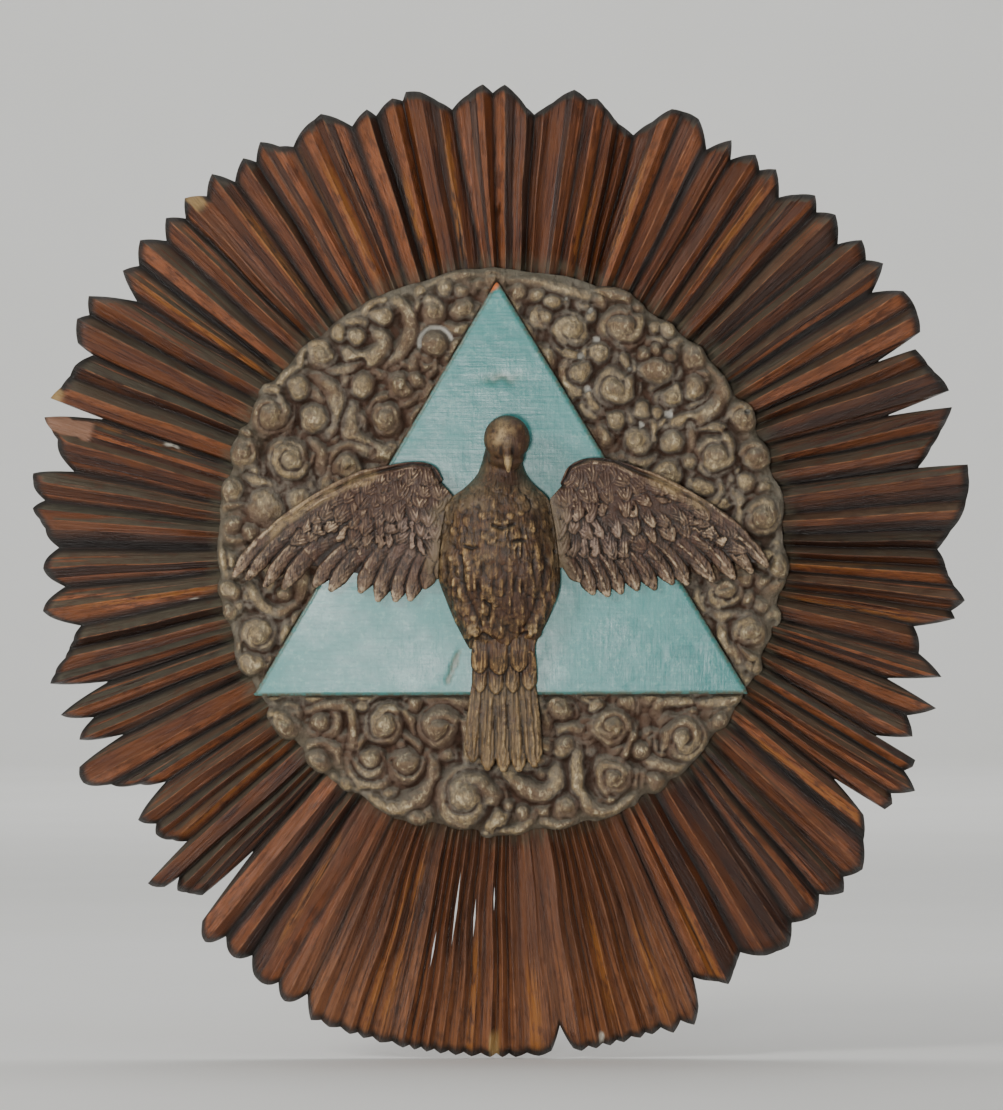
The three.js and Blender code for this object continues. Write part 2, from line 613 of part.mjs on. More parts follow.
function wing(parts) {
  const rows = [
    plate(parts.base, doveBack, doveBack + 2.5),
    ...featherRow(parts.primaries, primaryHeights),
    ...featherRow(parts.coverts, covertHeights),
    ...featherRow(parts.upperCoverts, upperCovertHeights),
  ];
  const [x, y, radius, crown] = parts.shoulder;
  const shoulderProfile = [[radius, 42], [radius * 0.7, crown - 2.5], [0, crown]];
  const shoulder = domeOf(x, y, shoulderProfile, 9, doveBack + 1);
  const bodyRoom = lofted(bodyStations.map((station) => bodySection(station, jointGap)));
  return joined([...rows, arm(parts.arm), shoulder]).subtract(bodyRoom);
}

// Space kept clear of cloud curls behind the wings and the tail
function birdRoom() {
  const wingRoom = (side) => plate([
    [side * 40, 70], [side * 84, 72], [side * 112, 64], [side * 150, 42], [side * 206, -8],
    [side * 200, -26], [side * 60, -40], [side * 30, -20],
  ], doveBack - jointGap, 80);
  const tailRoom = plate([[-34, -60], [30, -60], [34, -168], [-33, -168]], tailBack - jointGap, 80);
  return joined([wingRoom(-1), wingRoom(1), tailRoom]);
}

// Materials and assembly

function varnishedRay() {
  return new THREE.MeshStandardMaterial({ color: 0x5a3526, roughness: 0.45, metalness: 0 });
}

function dustyCloud() {
  return new THREE.MeshStandardMaterial({ color: 0x6b5d4c, roughness: 0.75, metalness: 0 });
}

function palePaint() {
  return new THREE.MeshStandardMaterial({ color: 0x7fa8a4, roughness: 0.4, metalness: 0 });
}

function doveWood() {
  return new THREE.MeshStandardMaterial({ color: 0x6b5030, roughness: 0.55, metalness: 0 });
}

function wingWood() {
  return new THREE.MeshStandardMaterial({ color: 0x6a5548, roughness: 0.6, metalness: 0 });
}

function meshOf(name, solid, material) {
  const { vertProperties, triVerts } = solid.getMesh();
  const geometry = new THREE.BufferGeometry();
  geometry.setAttribute("position", new THREE.BufferAttribute(Float32Array.from(vertProperties), 3));
  geometry.setIndex(new THREE.BufferAttribute(Uint32Array.from(triVerts), 1));
  geometry.rotateX(Math.PI / 2);
  const mesh = new THREE.Mesh(geometry, material);
  mesh.name = name;
  return mesh;
}

const group = new THREE.Group();
group.name = "carved_glory_plaque";

const rayBoards = [
  ["rays_top", rayBoard(topRays)],
  ["rays_right_upper", rayBoard(upperRightRays)],
  ["rays_right_chipped", rayBoard(chippedRightRays)],
  ["rays_right", rayBoard(rightRays)],
  ["rays_right_lower", rayBoard(lowerRightRays)],
  ["rays_right_low", rayBoard(lowRightRays)],
  ["rays_bottom_right", rayBoard(bottomRightRays)],
  ["rays_bottom", bottomBoard()],
  ["rays_bottom_left", rayBoard(bottomLeftRays)],
  ["rays_left_lower", rayBoard(lowerLeftRays)],
  ["rays_left", rayBoard(leftRays)],
];
for (const [name, solid] of rayBoards) {
  group.add(meshOf(name, solid, varnishedRay()));
}

group.add(meshOf("cloud_disc", cloudDisc(), dustyCloud()));
group.add(meshOf("triangle", trianglePlate(0, triangleBack, triangleFace), palePaint()));
group.add(meshOf("dove_body", doveBody(), doveWood()));
group.add(meshOf("dove_wing_left", wing(leftWing), wingWood()));
group.add(meshOf("dove_wing_right", wing(rightWing), wingWood()));

export default group;
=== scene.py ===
import math

import bpy
import numpy as np
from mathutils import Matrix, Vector


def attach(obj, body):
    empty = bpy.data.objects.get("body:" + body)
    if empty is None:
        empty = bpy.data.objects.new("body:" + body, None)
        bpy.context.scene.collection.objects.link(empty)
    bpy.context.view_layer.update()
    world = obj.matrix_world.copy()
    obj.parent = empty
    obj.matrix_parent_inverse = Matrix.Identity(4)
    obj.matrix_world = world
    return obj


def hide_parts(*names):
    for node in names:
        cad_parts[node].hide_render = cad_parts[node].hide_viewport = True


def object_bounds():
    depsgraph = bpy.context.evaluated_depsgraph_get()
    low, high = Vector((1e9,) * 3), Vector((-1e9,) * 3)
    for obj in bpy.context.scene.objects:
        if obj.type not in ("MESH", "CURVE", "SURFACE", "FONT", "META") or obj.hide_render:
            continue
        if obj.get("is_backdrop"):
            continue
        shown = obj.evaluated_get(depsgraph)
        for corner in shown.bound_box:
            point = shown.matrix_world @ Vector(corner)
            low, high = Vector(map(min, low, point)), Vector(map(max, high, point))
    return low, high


# The plaque is drawn as a relief: x to the right, y up and z out of the wall, in millimetres,
# from the middle of the medallion's flat back. mesh_object turns it to face -Y, in metres.
# Places on the medallion are given in steps of 0.75 mm to the right and down, as (501.5, 550) is its middle.

STEP = 0.75
MIDDLE = (501.5, 550)
PICTURE_HEIGHT = 1110

# Rays
RAY_INNER = 203
CREST_INNER = 19
CREST_OUTER = 14
VALLEY_INNER = 9
VALLEY_OUTER = 5
HEIGHT_RADIUS = 340
TIP_LENGTH = 11
TIP_DROP = 6.5
JOINT_CLOSING = 0.12
JOINT_LEAN = 1.2
THINNEST = 2.5
ROWS_ALONG_RAY = 46
# Angles are laid out as arcs of this radius
ARC_RADIUS = 300
# The bottom board is worn fair between these bearings, from none to full at either end
FAIR_FROM = (152, 160)
FAIR_TO = (209, 202)

# Medallion
CORE_RADIUS = 200
RIM_LIMIT = 217
FLANGE_BOTTOM = 19.5
CLOUD_GROUND = 24
POCKET_FLOOR = 23
SPOT_FLOOR = 21.5

# Triangle: its corners, back and face
TRIANGLE = [(-3.4, 201.5), (-185.5, -109), (185, -107.5)]
TRIANGLE_BACK = 24.3
TRIANGLE_FACE = 32

# Dove
DOVE_BACK = 32.3
HEAD = (4, 82.5, 60)
HEAD_RADIUS = 17.2
TAIL_BACK = 36.3
WING_LOWEST = 35.5
WING_TIP_CREST = 39.5
SHOULDER_CREST = 50.5
WING_TIP_REACH = 26
WING_SPACING = 0.62
FAR = 50.0

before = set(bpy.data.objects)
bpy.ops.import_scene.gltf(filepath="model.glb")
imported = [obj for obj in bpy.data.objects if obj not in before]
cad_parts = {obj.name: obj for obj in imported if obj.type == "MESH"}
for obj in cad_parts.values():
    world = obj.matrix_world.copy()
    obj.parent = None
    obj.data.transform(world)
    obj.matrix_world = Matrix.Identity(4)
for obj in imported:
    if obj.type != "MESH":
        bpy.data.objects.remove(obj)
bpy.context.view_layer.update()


# Numbers and noise

def smoothstep(low, high, value):
    share = np.clip((value - low) / (high - low), 0, 1)
    return share * share * (3 - 2 * share)


def noise(x, y, size, seed):
    """Smooth noise from -1 to 1 with features about size wide."""
    count = 64
    table = np.random.default_rng(seed).uniform(-1, 1, (count, count))
    u = x / size
    v = y / size
    i = np.floor(u).astype(int)
    j = np.floor(v).astype(int)
    across = smoothstep(0, 1, u - i)
    along = smoothstep(0, 1, v - j)
    low = table[i % count, j % count] * (1 - across) + table[(i + 1) % count, j % count] * across
    high = table[i % count, (j + 1) % count] * (1 - across)
    high = high + table[(i + 1) % count, (j + 1) % count] * across
    return low * (1 - along) + high * along


def layered_noise(x, y, size, seed):
    broad = noise(x, y, size, seed) * 0.6
    return broad + noise(x, y, size * 0.47, seed + 1) * 0.3 + noise(x, y, size * 0.21, seed + 2) * 0.15


def blurred(field, cells):
    reach = int(3 * cells) + 1
    kernel = np.exp(-0.5 * (np.arange(-reach, reach + 1) / cells) ** 2)
    kernel /= kernel.sum()
    wide = np.pad(field, reach, mode="edge")
    wide = np.apply_along_axis(lambda line: np.convolve(line, kernel, "valid"), 0, wide)
    return np.apply_along_axis(lambda line: np.convolve(line, kernel, "valid"), 1, wide)


def place(px, py):
    """From steps on the medallion to millimetres."""
    return np.array([(px - MIDDLE[0]) * STEP, (MIDDLE[1] - py) * STEP])


def as_steps(x, y):
    """From millimetres to steps on the medallion."""
    return x / STEP + MIDDLE[0], MIDDLE[1] - y / STEP


def on_bearing(bearing, radius):
    """Point at a bearing in degrees, clockwise from straight up."""
    angle = np.radians(bearing)
    return np.array([radius * np.sin(angle), radius * np.cos(angle)])


def smooth_path(rows, per_span=8):
    """Catmull-Rom curve through rows of numbers."""
    rows = np.asarray(rows, float)
    padded = np.vstack([2 * rows[0] - rows[1], rows, 2 * rows[-1] - rows[-2]])
    made = []
    for a, b, c, d in zip(padded, padded[1:], padded[2:], padded[3:]):
        for t in np.arange(per_span) / per_span:
            made.append(0.5 * (2 * b + (c - a) * t + (2 * a - 5 * b + 4 * c - d) * t**2
                               + (3 * b - a - 3 * c + d) * t**3))
    made.append(rows[-1])
    return np.array(made)


# Meshes

def mesh_object(name, points, faces, smooth, marks):
    """A mesh object from relief millimetres; marks holds named values for each point."""
    mesh = bpy.data.meshes.new(name)
    placed = np.column_stack([points[:, 0], -points[:, 2], points[:, 1]]) / 1000
    mesh.from_pydata(placed, [], faces)
    mesh.polygons.foreach_set("use_smooth", smooth)
    for mark, values in marks.items():
        values = np.asarray(values, np.float32)
        if values.ndim == 2:
            mesh.attributes.new(mark, "FLOAT_VECTOR", "POINT").data.foreach_set("vector", values.ravel())
        else:
            mesh.attributes.new(mark, "FLOAT", "POINT").data.foreach_set("value", values)
    made = bpy.data.objects.new(name, mesh)
    bpy.context.scene.collection.objects.link(made)
    return made


class Grid:
    """A square grid of heights over an area of the relief."""

    def __init__(self, low, high, step):
        self.step = step
        self.xs = np.arange(low[0], high[0] + step, step)
        self.ys = np.arange(low[1], high[1] + step, step)
        self.x, self.y = np.meshgrid(self.xs, self.ys, indexing="ij")
        self.z = np.zeros_like(self.x)

    def noise(self, size, seed, where=...):
        return noise(self.x[where], self.y[where], size, seed)

    def layered(self, size, seed):
        return layered_noise(self.x, self.y, size, seed)

    def window(self, low, high):
        i = np.searchsorted(self.xs, [low[0], high[0]])
        j = np.searchsorted(self.ys, [low[1], high[1]])
        return slice(max(i[0] - 1, 0), i[1] + 1), slice(max(j[0] - 1, 0), j[1] + 1)

    def sample(self, field, x, y):
        """Values of a field at any points."""
        u = np.clip((x - self.xs[0]) / self.step, 0, len(self.xs) - 1.001)
        v = np.clip((y - self.ys[0]) / self.step, 0, len(self.ys) - 1.001)
        i = u.astype(int)
        j = v.astype(int)
        p = u - i
        q = v - j
        low = field[i, j] * (1 - p) + field[i + 1, j] * p
        high = field[i, j + 1] * (1 - p) + field[i + 1, j + 1] * p
        return low * (1 - q) + high * q


def along_stroke(grid, path, spread=1.0):
    """Looks at the grid near a path of rows (x, y, half width).

    Gives the window, the distance from the path as a share of the half width, the place along it
    from 0 to 1, the signed distance across in millimetres and the distance itself.
    """
    path = np.asarray(path, float)
    margin = path[:, 2].max() * spread + grid.step * 2
    where = grid.window(path[:, :2].min(0) - margin, path[:, :2].max(0) + margin)
    x = grid.x[where]
    y = grid.y[where]
    lengths = np.hypot(*np.diff(path[:, :2], axis=0).T)
    starts = np.concatenate([[0], np.cumsum(lengths)])
    total = max(starts[-1], 1e-6)
    share = np.full(x.shape, np.inf)
    along = np.zeros_like(x)
    side = np.zeros_like(x)
    apart = np.full(x.shape, np.inf)
    for k, length in enumerate(lengths):
        if length < 1e-9:
            continue
        ax, ay, aw = path[k]
        bx, by, bw = path[k + 1]
        dx = (bx - ax) / length
        dy = (by - ay) / length
        t = np.clip(((x - ax) * dx + (y - ay) * dy) / length, 0, 1)
        off_x = x - (ax + dx * length * t)
        off_y = y - (ay + dy * length * t)
        distance = np.hypot(off_x, off_y)
        ratio = distance / (aw + (bw - aw) * t)
        nearer = ratio < share
        share = np.where(nearer, ratio, share)
        along = np.where(nearer, (starts[k] + length * t) / total, along)
        cross = dx * (y - ay) - dy * (x - ax)
        side = np.where(nearer, np.sign(cross) * distance, side)
        apart = np.where(nearer, distance, apart)
    return where, share, along, side, apart


def cut_out(grid, outside):
    """The grid's cells inside an outline, as faces, with the edge points moved onto the outline.

    outside is the signed distance to the outline on the grid. Gives the points' x and y, the index
    of each point in the flat grid, the faces and the closed edge loops, the longest first.
    """
    inside = outside < 0.3 * grid.step
    cells = inside[:-1, :-1] & inside[1:, :-1] & inside[:-1, 1:] & inside[1:, 1:]
    for _ in range(3):
        padded = np.pad(cells, 1)
        a = padded[:-1, :-1]
        b = padded[1:, :-1]
        c = padded[:-1, 1:]
        d = padded[1:, 1:]
        pinched = (a & d & ~b & ~c) | (b & c & ~a & ~d)
        near = pinched[:-1, :-1] | pinched[1:, :-1] | pinched[:-1, 1:] | pinched[1:, 1:]
        cells = cells & ~near
    rows, columns = np.nonzero(cells)
    width = grid.x.shape[1]
    corner = rows * width + columns
    quads = np.column_stack([corner, corner + width, corner + width + 1, corner + 1])
    used, flat = np.unique(quads, return_inverse=True)
    quads = flat.reshape(-1, 4)
    x = grid.x.ravel()[used].copy()
    y = grid.y.ravel()[used].copy()

    edges = np.concatenate([quads[:, [0, 1]], quads[:, [1, 2]], quads[:, [2, 3]], quads[:, [3, 0]]])
    codes = edges[:, 0].astype(np.int64) * len(used) + edges[:, 1]
    back = edges[:, 1].astype(np.int64) * len(used) + edges[:, 0]
    rim = edges[~np.isin(codes, back)]
    following = dict(rim.tolist())
    loops = []
    while following:
        start, at = following.popitem()
        loop = [start]
        while at != start:
            loop.append(at)
            at = following.pop(at)
        loops.append(np.array(loop))
    loops.sort(key=len, reverse=True)

    slope_x, slope_y = np.gradient(outside, grid.step)
    steep = np.maximum(slope_x**2 + slope_y**2, 0.2)
    move_x = (-outside * slope_x / steep).ravel()[used]
    move_y = (-outside * slope_y / steep).ravel()[used]
    edge = np.unique(rim)
    limit = grid.step * 0.95
    x[edge] += np.clip(move_x[edge], -limit, limit)
    y[edge] += np.clip(move_y[edge], -limit, limit)
    return x, y, used, quads, loops


def relief_object(name, grid, outside, back, marks):
    """A closed body from the grid's heights inside an outline, down to a flat back."""
    x, y, used, quads, loops = cut_out(grid, outside)
    z = grid.z.ravel()[used]
    points = np.column_stack([x, y, z])
    values = {mark: field.ravel()[used] for mark, field in marks.items()}
    faces = quads.tolist()
    smooth = [True] * len(faces)
    for k, loop in enumerate(loops):
        first = len(points)
        count = len(loop)
        low = np.column_stack([x[loop], y[loop], np.full(count, float(back))])
        points = np.vstack([points, low])
        values = {mark: np.concatenate([held, held[loop]]) for mark, held in values.items()}
        after = np.roll(np.arange(count), -1)
        walls = np.column_stack([loop[after], loop, first + np.arange(count), first + after])
        faces += walls.tolist()
        smooth += [False] * count
        if k == 0:
            faces.append((first + np.arange(count))[::-1].tolist())
            smooth.append(False)
    return mesh_object(name, points, faces, smooth, values)


def relief_piece(node, grid, outside, back, marks):
    """A piece of the plaque made from a grid's heights."""
    made = relief_object("dressed_" + node, grid, outside, back, marks)
    finish_piece(made, node)
    return made


def finish_piece(piece, node):
    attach(piece, "root")
    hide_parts(node)


def relief_marks(grid, width):
    """How far each place stands proud of its surroundings, or lies below them, in millimetres."""
    return grid.z - blurred(grid.z, width / grid.step)


def vertex_vectors(mesh, name):
    """One vector for each vertex of a mesh: its place or its normal."""
    values = np.empty(len(mesh.vertices) * 3, np.float32)
    mesh.vertices.foreach_get(name, values)
    return values.reshape(-1, 3).astype(float)


def apply_modifiers(piece):
    """Replaces a piece's mesh by what its modifiers make of it."""
    graph = bpy.context.evaluated_depsgraph_get()
    mesh = bpy.data.meshes.new_from_object(piece.evaluated_get(graph))
    piece.modifiers.clear()
    piece.data = mesh


def combine(piece, other, operation):
    """Joins another body to a piece, or cuts it out of the piece."""
    modifier = piece.modifiers.new(operation, "BOOLEAN")
    modifier.operation = operation
    modifier.solver = "MANIFOLD"
    modifier.object = other
    apply_modifiers(piece)
    bpy.data.objects.remove(other)


# Rays

def corners_of(node, radius_test):
    """Points of a CAD node that pass a test on their radius, in relief millimetres, by bearing."""
    points = vertex_vectors(node.data, "co") * 1000
    relief = np.column_stack([points[:, 0], points[:, 2], -points[:, 1]])
    radius = np.hypot(relief[:, 0], relief[:, 1])
    relief = relief[radius_test(radius)]
    return np.unique(relief.round(2), axis=0)


def ray_lines(node, shortest):
    """The straight lines of a ray board: inner and outer ends in order, and how high each stands."""
    inner = corners_of(node, lambda radius: np.abs(radius - RAY_INNER) < 0.3)
    outer = corners_of(node, lambda radius: radius > shortest)
    middle = inner[:, :2].mean(0)
    facing = math.atan2(middle[0], middle[1])

    def turn(points):
        bearing = np.arctan2(points[:, 0], points[:, 1]) - facing
        return (bearing + math.pi) % (2 * math.pi) - math.pi

    feet = inner[inner[:, 2] < 0.5]
    feet = feet[np.argsort(turn(feet))]
    tops = inner[inner[:, 2] > 0.5]
    tops = tops[np.argsort(turn(tops))]
    ends = outer[outer[:, 2] < 0.5]
    ends = ends[np.argsort(turn(ends))]
    rise = (tops[:, 2] - VALLEY_INNER) / (CREST_INNER - VALLEY_INNER)
    return feet[:, :2], ends[:, :2], np.clip(rise, 0, 1)


def facet_profile(width, seed):
    """Carving across one facet: rows of a place from 0 to 1, its offset in millimetres and its tone.

    The facet is split into a few flat strips that step up or down and meet in thin cuts.
    """
    chance = np.random.default_rng(seed)
    strips = max(1, round(width / 7.5))
    cuts = np.linspace(0, 1, strips + 1)
    cuts[1:-1] += chance.uniform(-0.32, 0.32, strips - 1) / strips
    rows = []
    for k in range(strips):
        span = cuts[k + 1] - cuts[k]
        wide = span * width
        tilt = chance.uniform(-0.2, 0.2) * wide if strips > 1 else 0.0
        hollow = chance.uniform(0.0, 0.1) * wide
        tone = chance.uniform(0, 1)
        steps = max(4, math.ceil(wide / 0.85))
        for t in np.arange(steps) / steps:
            edge = min(t, 1 - t) * wide
            cut = 0.8 * math.exp(-((edge / 0.7) ** 2)) if strips > 1 else 0.0
            at_facet_end = (k == 0 and t < 0.5) or (k == strips - 1 and t >= 0.5)
            offset = tilt * (t - 0.5) - hollow * 4 * t * (1 - t) - (0 if at_facet_end else cut)
            rows.append([cuts[k] + span * t, offset, tone])
    rows[0][1] = 0.0
    return rows


def ray_surface(feet, ends, rise, roundness, seed):
    """Columns of a ray board: inner and outer ends, height share, offset, tone and depth of shade."""
    rows = []
    for k in range(len(rise) - 1):
        width = np.hypot(*(ends[k + 1] - ends[k]))
        width = min(width, 0.5 * width + 8)
        shade = min(max(width - 5, 1) / 9, 1)
        for t, offset, tone in facet_profile(width, seed + k):
            bulge = 1 + roundness * min(width / 22, 1) ** 2 * math.sin(math.pi * t)
            inner = feet[k] + (feet[k + 1] - feet[k]) * t
            outer = (ends[k] + (ends[k + 1] - ends[k]) * t) * bulge
            share = rise[k] + (rise[k + 1] - rise[k]) * t
            rows.append([*inner, *outer, share, offset, tone, shade])
    rows.append([*feet[-1], *ends[-1], rise[-1], 0.0, tone, shade])
    rows = np.array(rows)
    inner = rows[:, :2]
    outer = rows[:, 2:4]
    for k, inward in ((0, 1), (-1, -2)):
        aside = outer[k] - outer[inward]
        aside *= JOINT_CLOSING / np.hypot(*aside)
        inner[k] += aside
        outer[k] += aside
    return inner, outer, *np.split(rows[:, 4:], 4, axis=1)


# Bearing and radius of the knot at the top
KNOT = (-0.8, 255)

# Places on the rays, each as first and last bearing, first and last radius: worn and stained golden streaks,
# then patches of painted sheen, bare and tan worn wood, and small white spots
GOLDEN = [
    (13.8, 14.6, 220, 260), (20.2, 20.8, 250, 300), (35.7, 36.3, 280, 315), (37.9, 38.4, 225, 345),
    (332.5, 333.1, 230, 330), (335.1, 335.9, 240, 300), (344.9, 345.6, 222, 270), (287.1, 287.8, 240, 306),
    (152.9, 153.8, 310, 355), (159.9, 160.6, 315, 350), (175.4, 176.4, 330, 382), (193.8, 194.2, 250, 350),
    (195.6, 196, 270, 360), (209, 209.6, 265, 320), (183.2, 183.8, 310, 376), (166.2, 166.8, 290, 350),
    (99.2, 99.8, 225, 300), (92.2, 93, 222, 275), (126.6, 127.2, 250, 330), (228.2, 229, 225, 300),
    (262.2, 262.8, 225, 300), (306.2, 307, 225, 320), (322.2, 323, 235, 300), (352.2, 352.8, 240, 300),
]
# Painted sheen: pale mauve streaks that stand in for the varnish's reflection
PAINTED_SHEEN = [
    (30.8, 33, 230, 294), (317.3, 319.7, 253, 317), (64.4, 65.2, 260, 296), (22, 24, 336, 354),
    (208.2, 209.8, 230, 258), (52, 53.2, 250, 330), (328.5, 330, 240, 320), (3.5, 5, 250, 320),
    (215, 217, 240, 320), (243, 245, 240, 300), (141, 142.4, 250, 340), (355.5, 356.6, 260, 330),
    (170, 171, 240, 320), (200.5, 202, 250, 330), (272, 273.4, 260, 330), (113, 114.6, 240, 320),
]
BARE = [(284.8, 286.9, 322, 354)]
TAN = [(318.2, 319.4, 345, 352), (288.5, 289.6, 353, 358), (180.5, 181.2, 366, 378)]
WHITE = [(287.35, 287.55, 256, 263), (168.4, 168.9, 372, 375), (260.9, 261.1, 231, 234)]


def in_patches(bearing, radius, patches, soft=0.5, soft_radius=30):
    """1 inside the listed places, fading at their edges."""
    found = np.zeros_like(bearing)
    for first, last, near, far in patches:
        middle = (first + last) / 2
        off = np.abs((bearing - middle + 180) % 360 - 180) - (last - first) / 2
        beyond = np.maximum(near - radius, radius - far)
        found = np.maximum(found, (1 - smoothstep(0, soft, off)) * (1 - smoothstep(0, soft_radius, beyond)))
    return found


def ray_sheet(inner, outer, wavering):
    """Radius and angle over a board's face: a column for each line, with rows from the medallion out."""
    run = np.linspace(0, 1, ROWS_ALONG_RAY) ** 0.9
    x = inner[:, :1] + (outer - inner)[:, :1] * run
    y = inner[:, 1:] + (outer - inner)[:, 1:] * run
    radius = np.hypot(x, y)
    facing = math.atan2(*inner.mean(0))
    angle = (np.arctan2(x, y) - facing + math.pi) % (2 * math.pi) - math.pi
    from_side = np.minimum(angle - angle[:1], angle[-1:] - angle) * ARC_RADIUS
    angle = angle + facing
    waver = 0.5 * np.sin(7 * angle + radius / 25) + 0.3 * np.sin(23 * angle - radius / 17)
    waver *= smoothstep(1, 9, from_side) * np.sin(math.pi * run) * wavering
    return radius, angle + waver / radius


def ray_wear(radius, angle, seed):
    """Worn, stained and dusty places of a board, and patches of painted sheen."""
    turned = angle * ARC_RADIUS
    bearing = np.degrees(angle)
    ragged = bearing + 0.35 * noise(turned, radius, 6, 54)
    flaky = smoothstep(-0.6, 0.1, noise(turned, radius, 2, 57))
    return {
        "ribbed": smoothstep(*FAIR_FROM, bearing % 360) * smoothstep(*FAIR_TO, bearing % 360),
        "rim": smoothstep(226, 212, radius + 5 * noise(turned, radius, 9, seed + 53)),
        "dusty": 0.83 + 0.08 * smoothstep(0.4, -0.4, np.sin(angle)) + 0.2 * noise(turned, radius, 60, 55),
        "gold": in_patches(bearing, radius, GOLDEN),
        # painted sheen, not a stain
        "lavender": in_patches(bearing, radius, PAINTED_SHEEN),
        "bare": in_patches(ragged, radius, BARE, 0.25, 4),
        "tan": in_patches(ragged, radius, TAN, 0.4, 7),
        "white": in_patches(ragged, radius, WHITE, 0.2, 3) * flaky,
    }


def ray_heights(radius, turned, share, offset, depth, to_tip, marks, seed):
    """Heights of a board's face: ridges and valleys, carving, rounded tips, the knot and chips."""
    along = (radius - RAY_INNER) / (HEIGHT_RADIUS - RAY_INNER)
    crest = CREST_INNER + (CREST_OUTER - CREST_INNER) * along
    valley = VALLEY_INNER + (VALLEY_OUTER - VALLEY_INNER) * along
    z = valley + (crest - valley) * (share + 0.24 * marks["ribbed"] * (1 - share))
    narrow = np.clip(radius / HEIGHT_RADIUS, 0.5, 1.1)
    z = z + offset * (narrow * (0.85 + 0.35 * noise(turned, radius, 46, seed)) * depth)
    z = z + 0.35 * noise(turned, radius * 0.3, 11, seed + 50)
    z = z + 0.3 * noise(turned * 1.4, radius * 0.1, 3.2, seed + 51)
    z = z - TIP_DROP * share * to_tip**1.8 - 1.2 * to_tip**6
    no_limit = 40
    z = np.minimum(z, no_limit - smoothstep(216, 208, radius) * (no_limit - CREST_INNER))
    knot = np.hypot(turned - math.radians(KNOT[0]) * ARC_RADIUS, radius - KNOT[1])
    z = z - 3.5 * np.exp(-((knot / 2.2) ** 2))
    z = z - np.maximum(marks["bare"], marks["tan"]) * (1.0 + 0.5 * noise(turned, radius, 2.5, seed + 52))
    return np.maximum(z, THINNEST)


def levelled(z):
    """Heights smoothed across the columns, to tell what stands proud."""
    for _ in range(10):
        wide = np.pad(z, ((1, 1), (0, 0)), mode="edge")
        z = (wide[:-2] + wide[1:-1] * 2 + wide[2:]) / 4
    return z


def ray_faces(columns):
    """Faces of a board: its carved face, front and rear, underside and two ends, and which are smooth."""
    index = np.arange(columns * ROWS_ALONG_RAY).reshape(columns, ROWS_ALONG_RAY)
    foot = columns * ROWS_ALONG_RAY + np.arange(columns)
    end = foot + columns
    quads = np.stack([index[:-1, :-1], index[:-1, 1:], index[1:, 1:], index[1:, :-1]], -1).reshape(-1, 4)
    front = np.column_stack([index[:-1, -1], end[:-1], end[1:], index[1:, -1]])
    rear = np.column_stack([foot[:-1], index[:-1, 0], index[1:, 0], foot[1:]])
    under = np.column_stack([foot[:-1], foot[1:], end[1:], end[:-1]])
    first_side = [foot[0], end[0], *index[0, ::-1]]
    last_side = [*index[-1], end[-1], foot[-1]]
    faces = [*quads.tolist(), *front.tolist(), *rear.tolist(), *under.tolist(), first_side, last_side]
    return faces, [True] * len(quads) + [False] * (len(faces) - len(quads))


def ray_board(name, seed):
    """One board of rays as a closed body, on the CAD node's own lines."""
    shortest, wavering = (330, 2.2) if name == "rays_bottom" else (250, 1)
    roundness, depth = (0.014, 0.55) if "left" in name else (0.006, 0.9)
    lines = ray_lines(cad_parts[name], shortest)
    inner, outer, share, offset, tone, shade = ray_surface(*lines, roundness, seed)
    radius, angle = ray_sheet(inner, outer, wavering)
    turned = angle * ARC_RADIUS
    reach = np.hypot(outer[:, 0], outer[:, 1])[:, None]
    to_tip = np.clip(1 - (reach - radius) / TIP_LENGTH, 0, 1)
    marks = ray_wear(radius, angle, seed)
    z = ray_heights(radius, turned, share, offset, depth, to_tip, marks, seed)
    ribbed = marks["ribbed"]
    fair = ribbed * (0.45 + 0.55 * smoothstep(285, 335, radius + 22 * noise(turned, radius * 0.2, 9, 56)))
    marks |= {
        # proud and crest also feed a painted highlight on the crests; proud and shade feed painted shade in
        # the hollows and valleys
        "proud": (z - levelled(z)) * (1 - 0.45 * fair),
        "fair": fair,
        "crest": np.broadcast_to(smoothstep(0.75, 1.0, share) * shade, radius.shape),
        "shade": smoothstep(0.46, 0.05, share) * shade * (1 - 0.55 * ribbed),
        "tone": np.broadcast_to(tone, radius.shape),
        "tip": to_tip,
    }

    columns = len(share)
    top = np.column_stack([(radius * np.sin(angle)).ravel(), (radius * np.cos(angle)).ravel(), z.ravel()])
    low = [np.column_stack([ring[:, 0], ring[:, 1], np.zeros(columns)]) for ring in (inner, outer)]
    for ring in low:
        for k in (0, -1):
            lean = JOINT_LEAN / np.hypot(*ring[k, :2])
            ring[k, :2] += lean * np.array([ring[k, 1], -ring[k, 0]])
    unmarked = np.zeros(2 * columns)
    values = {mark: np.concatenate([field.ravel(), unmarked]) for mark, field in marks.items()}
    values["tone"][-2 * columns:] = 0.4
    grain = np.column_stack([turned.ravel(), radius.ravel(), z.ravel()])
    grain_low = [np.column_stack([turned[:, k], radius[:, k], np.zeros(columns)]) for k in (0, -1)]
    values["grain"] = np.vstack([grain, *grain_low])
    made = mesh_object("dressed_" + name, np.vstack([top, *low]), *ray_faces(columns), values)
    finish_piece(made, name)
    return made


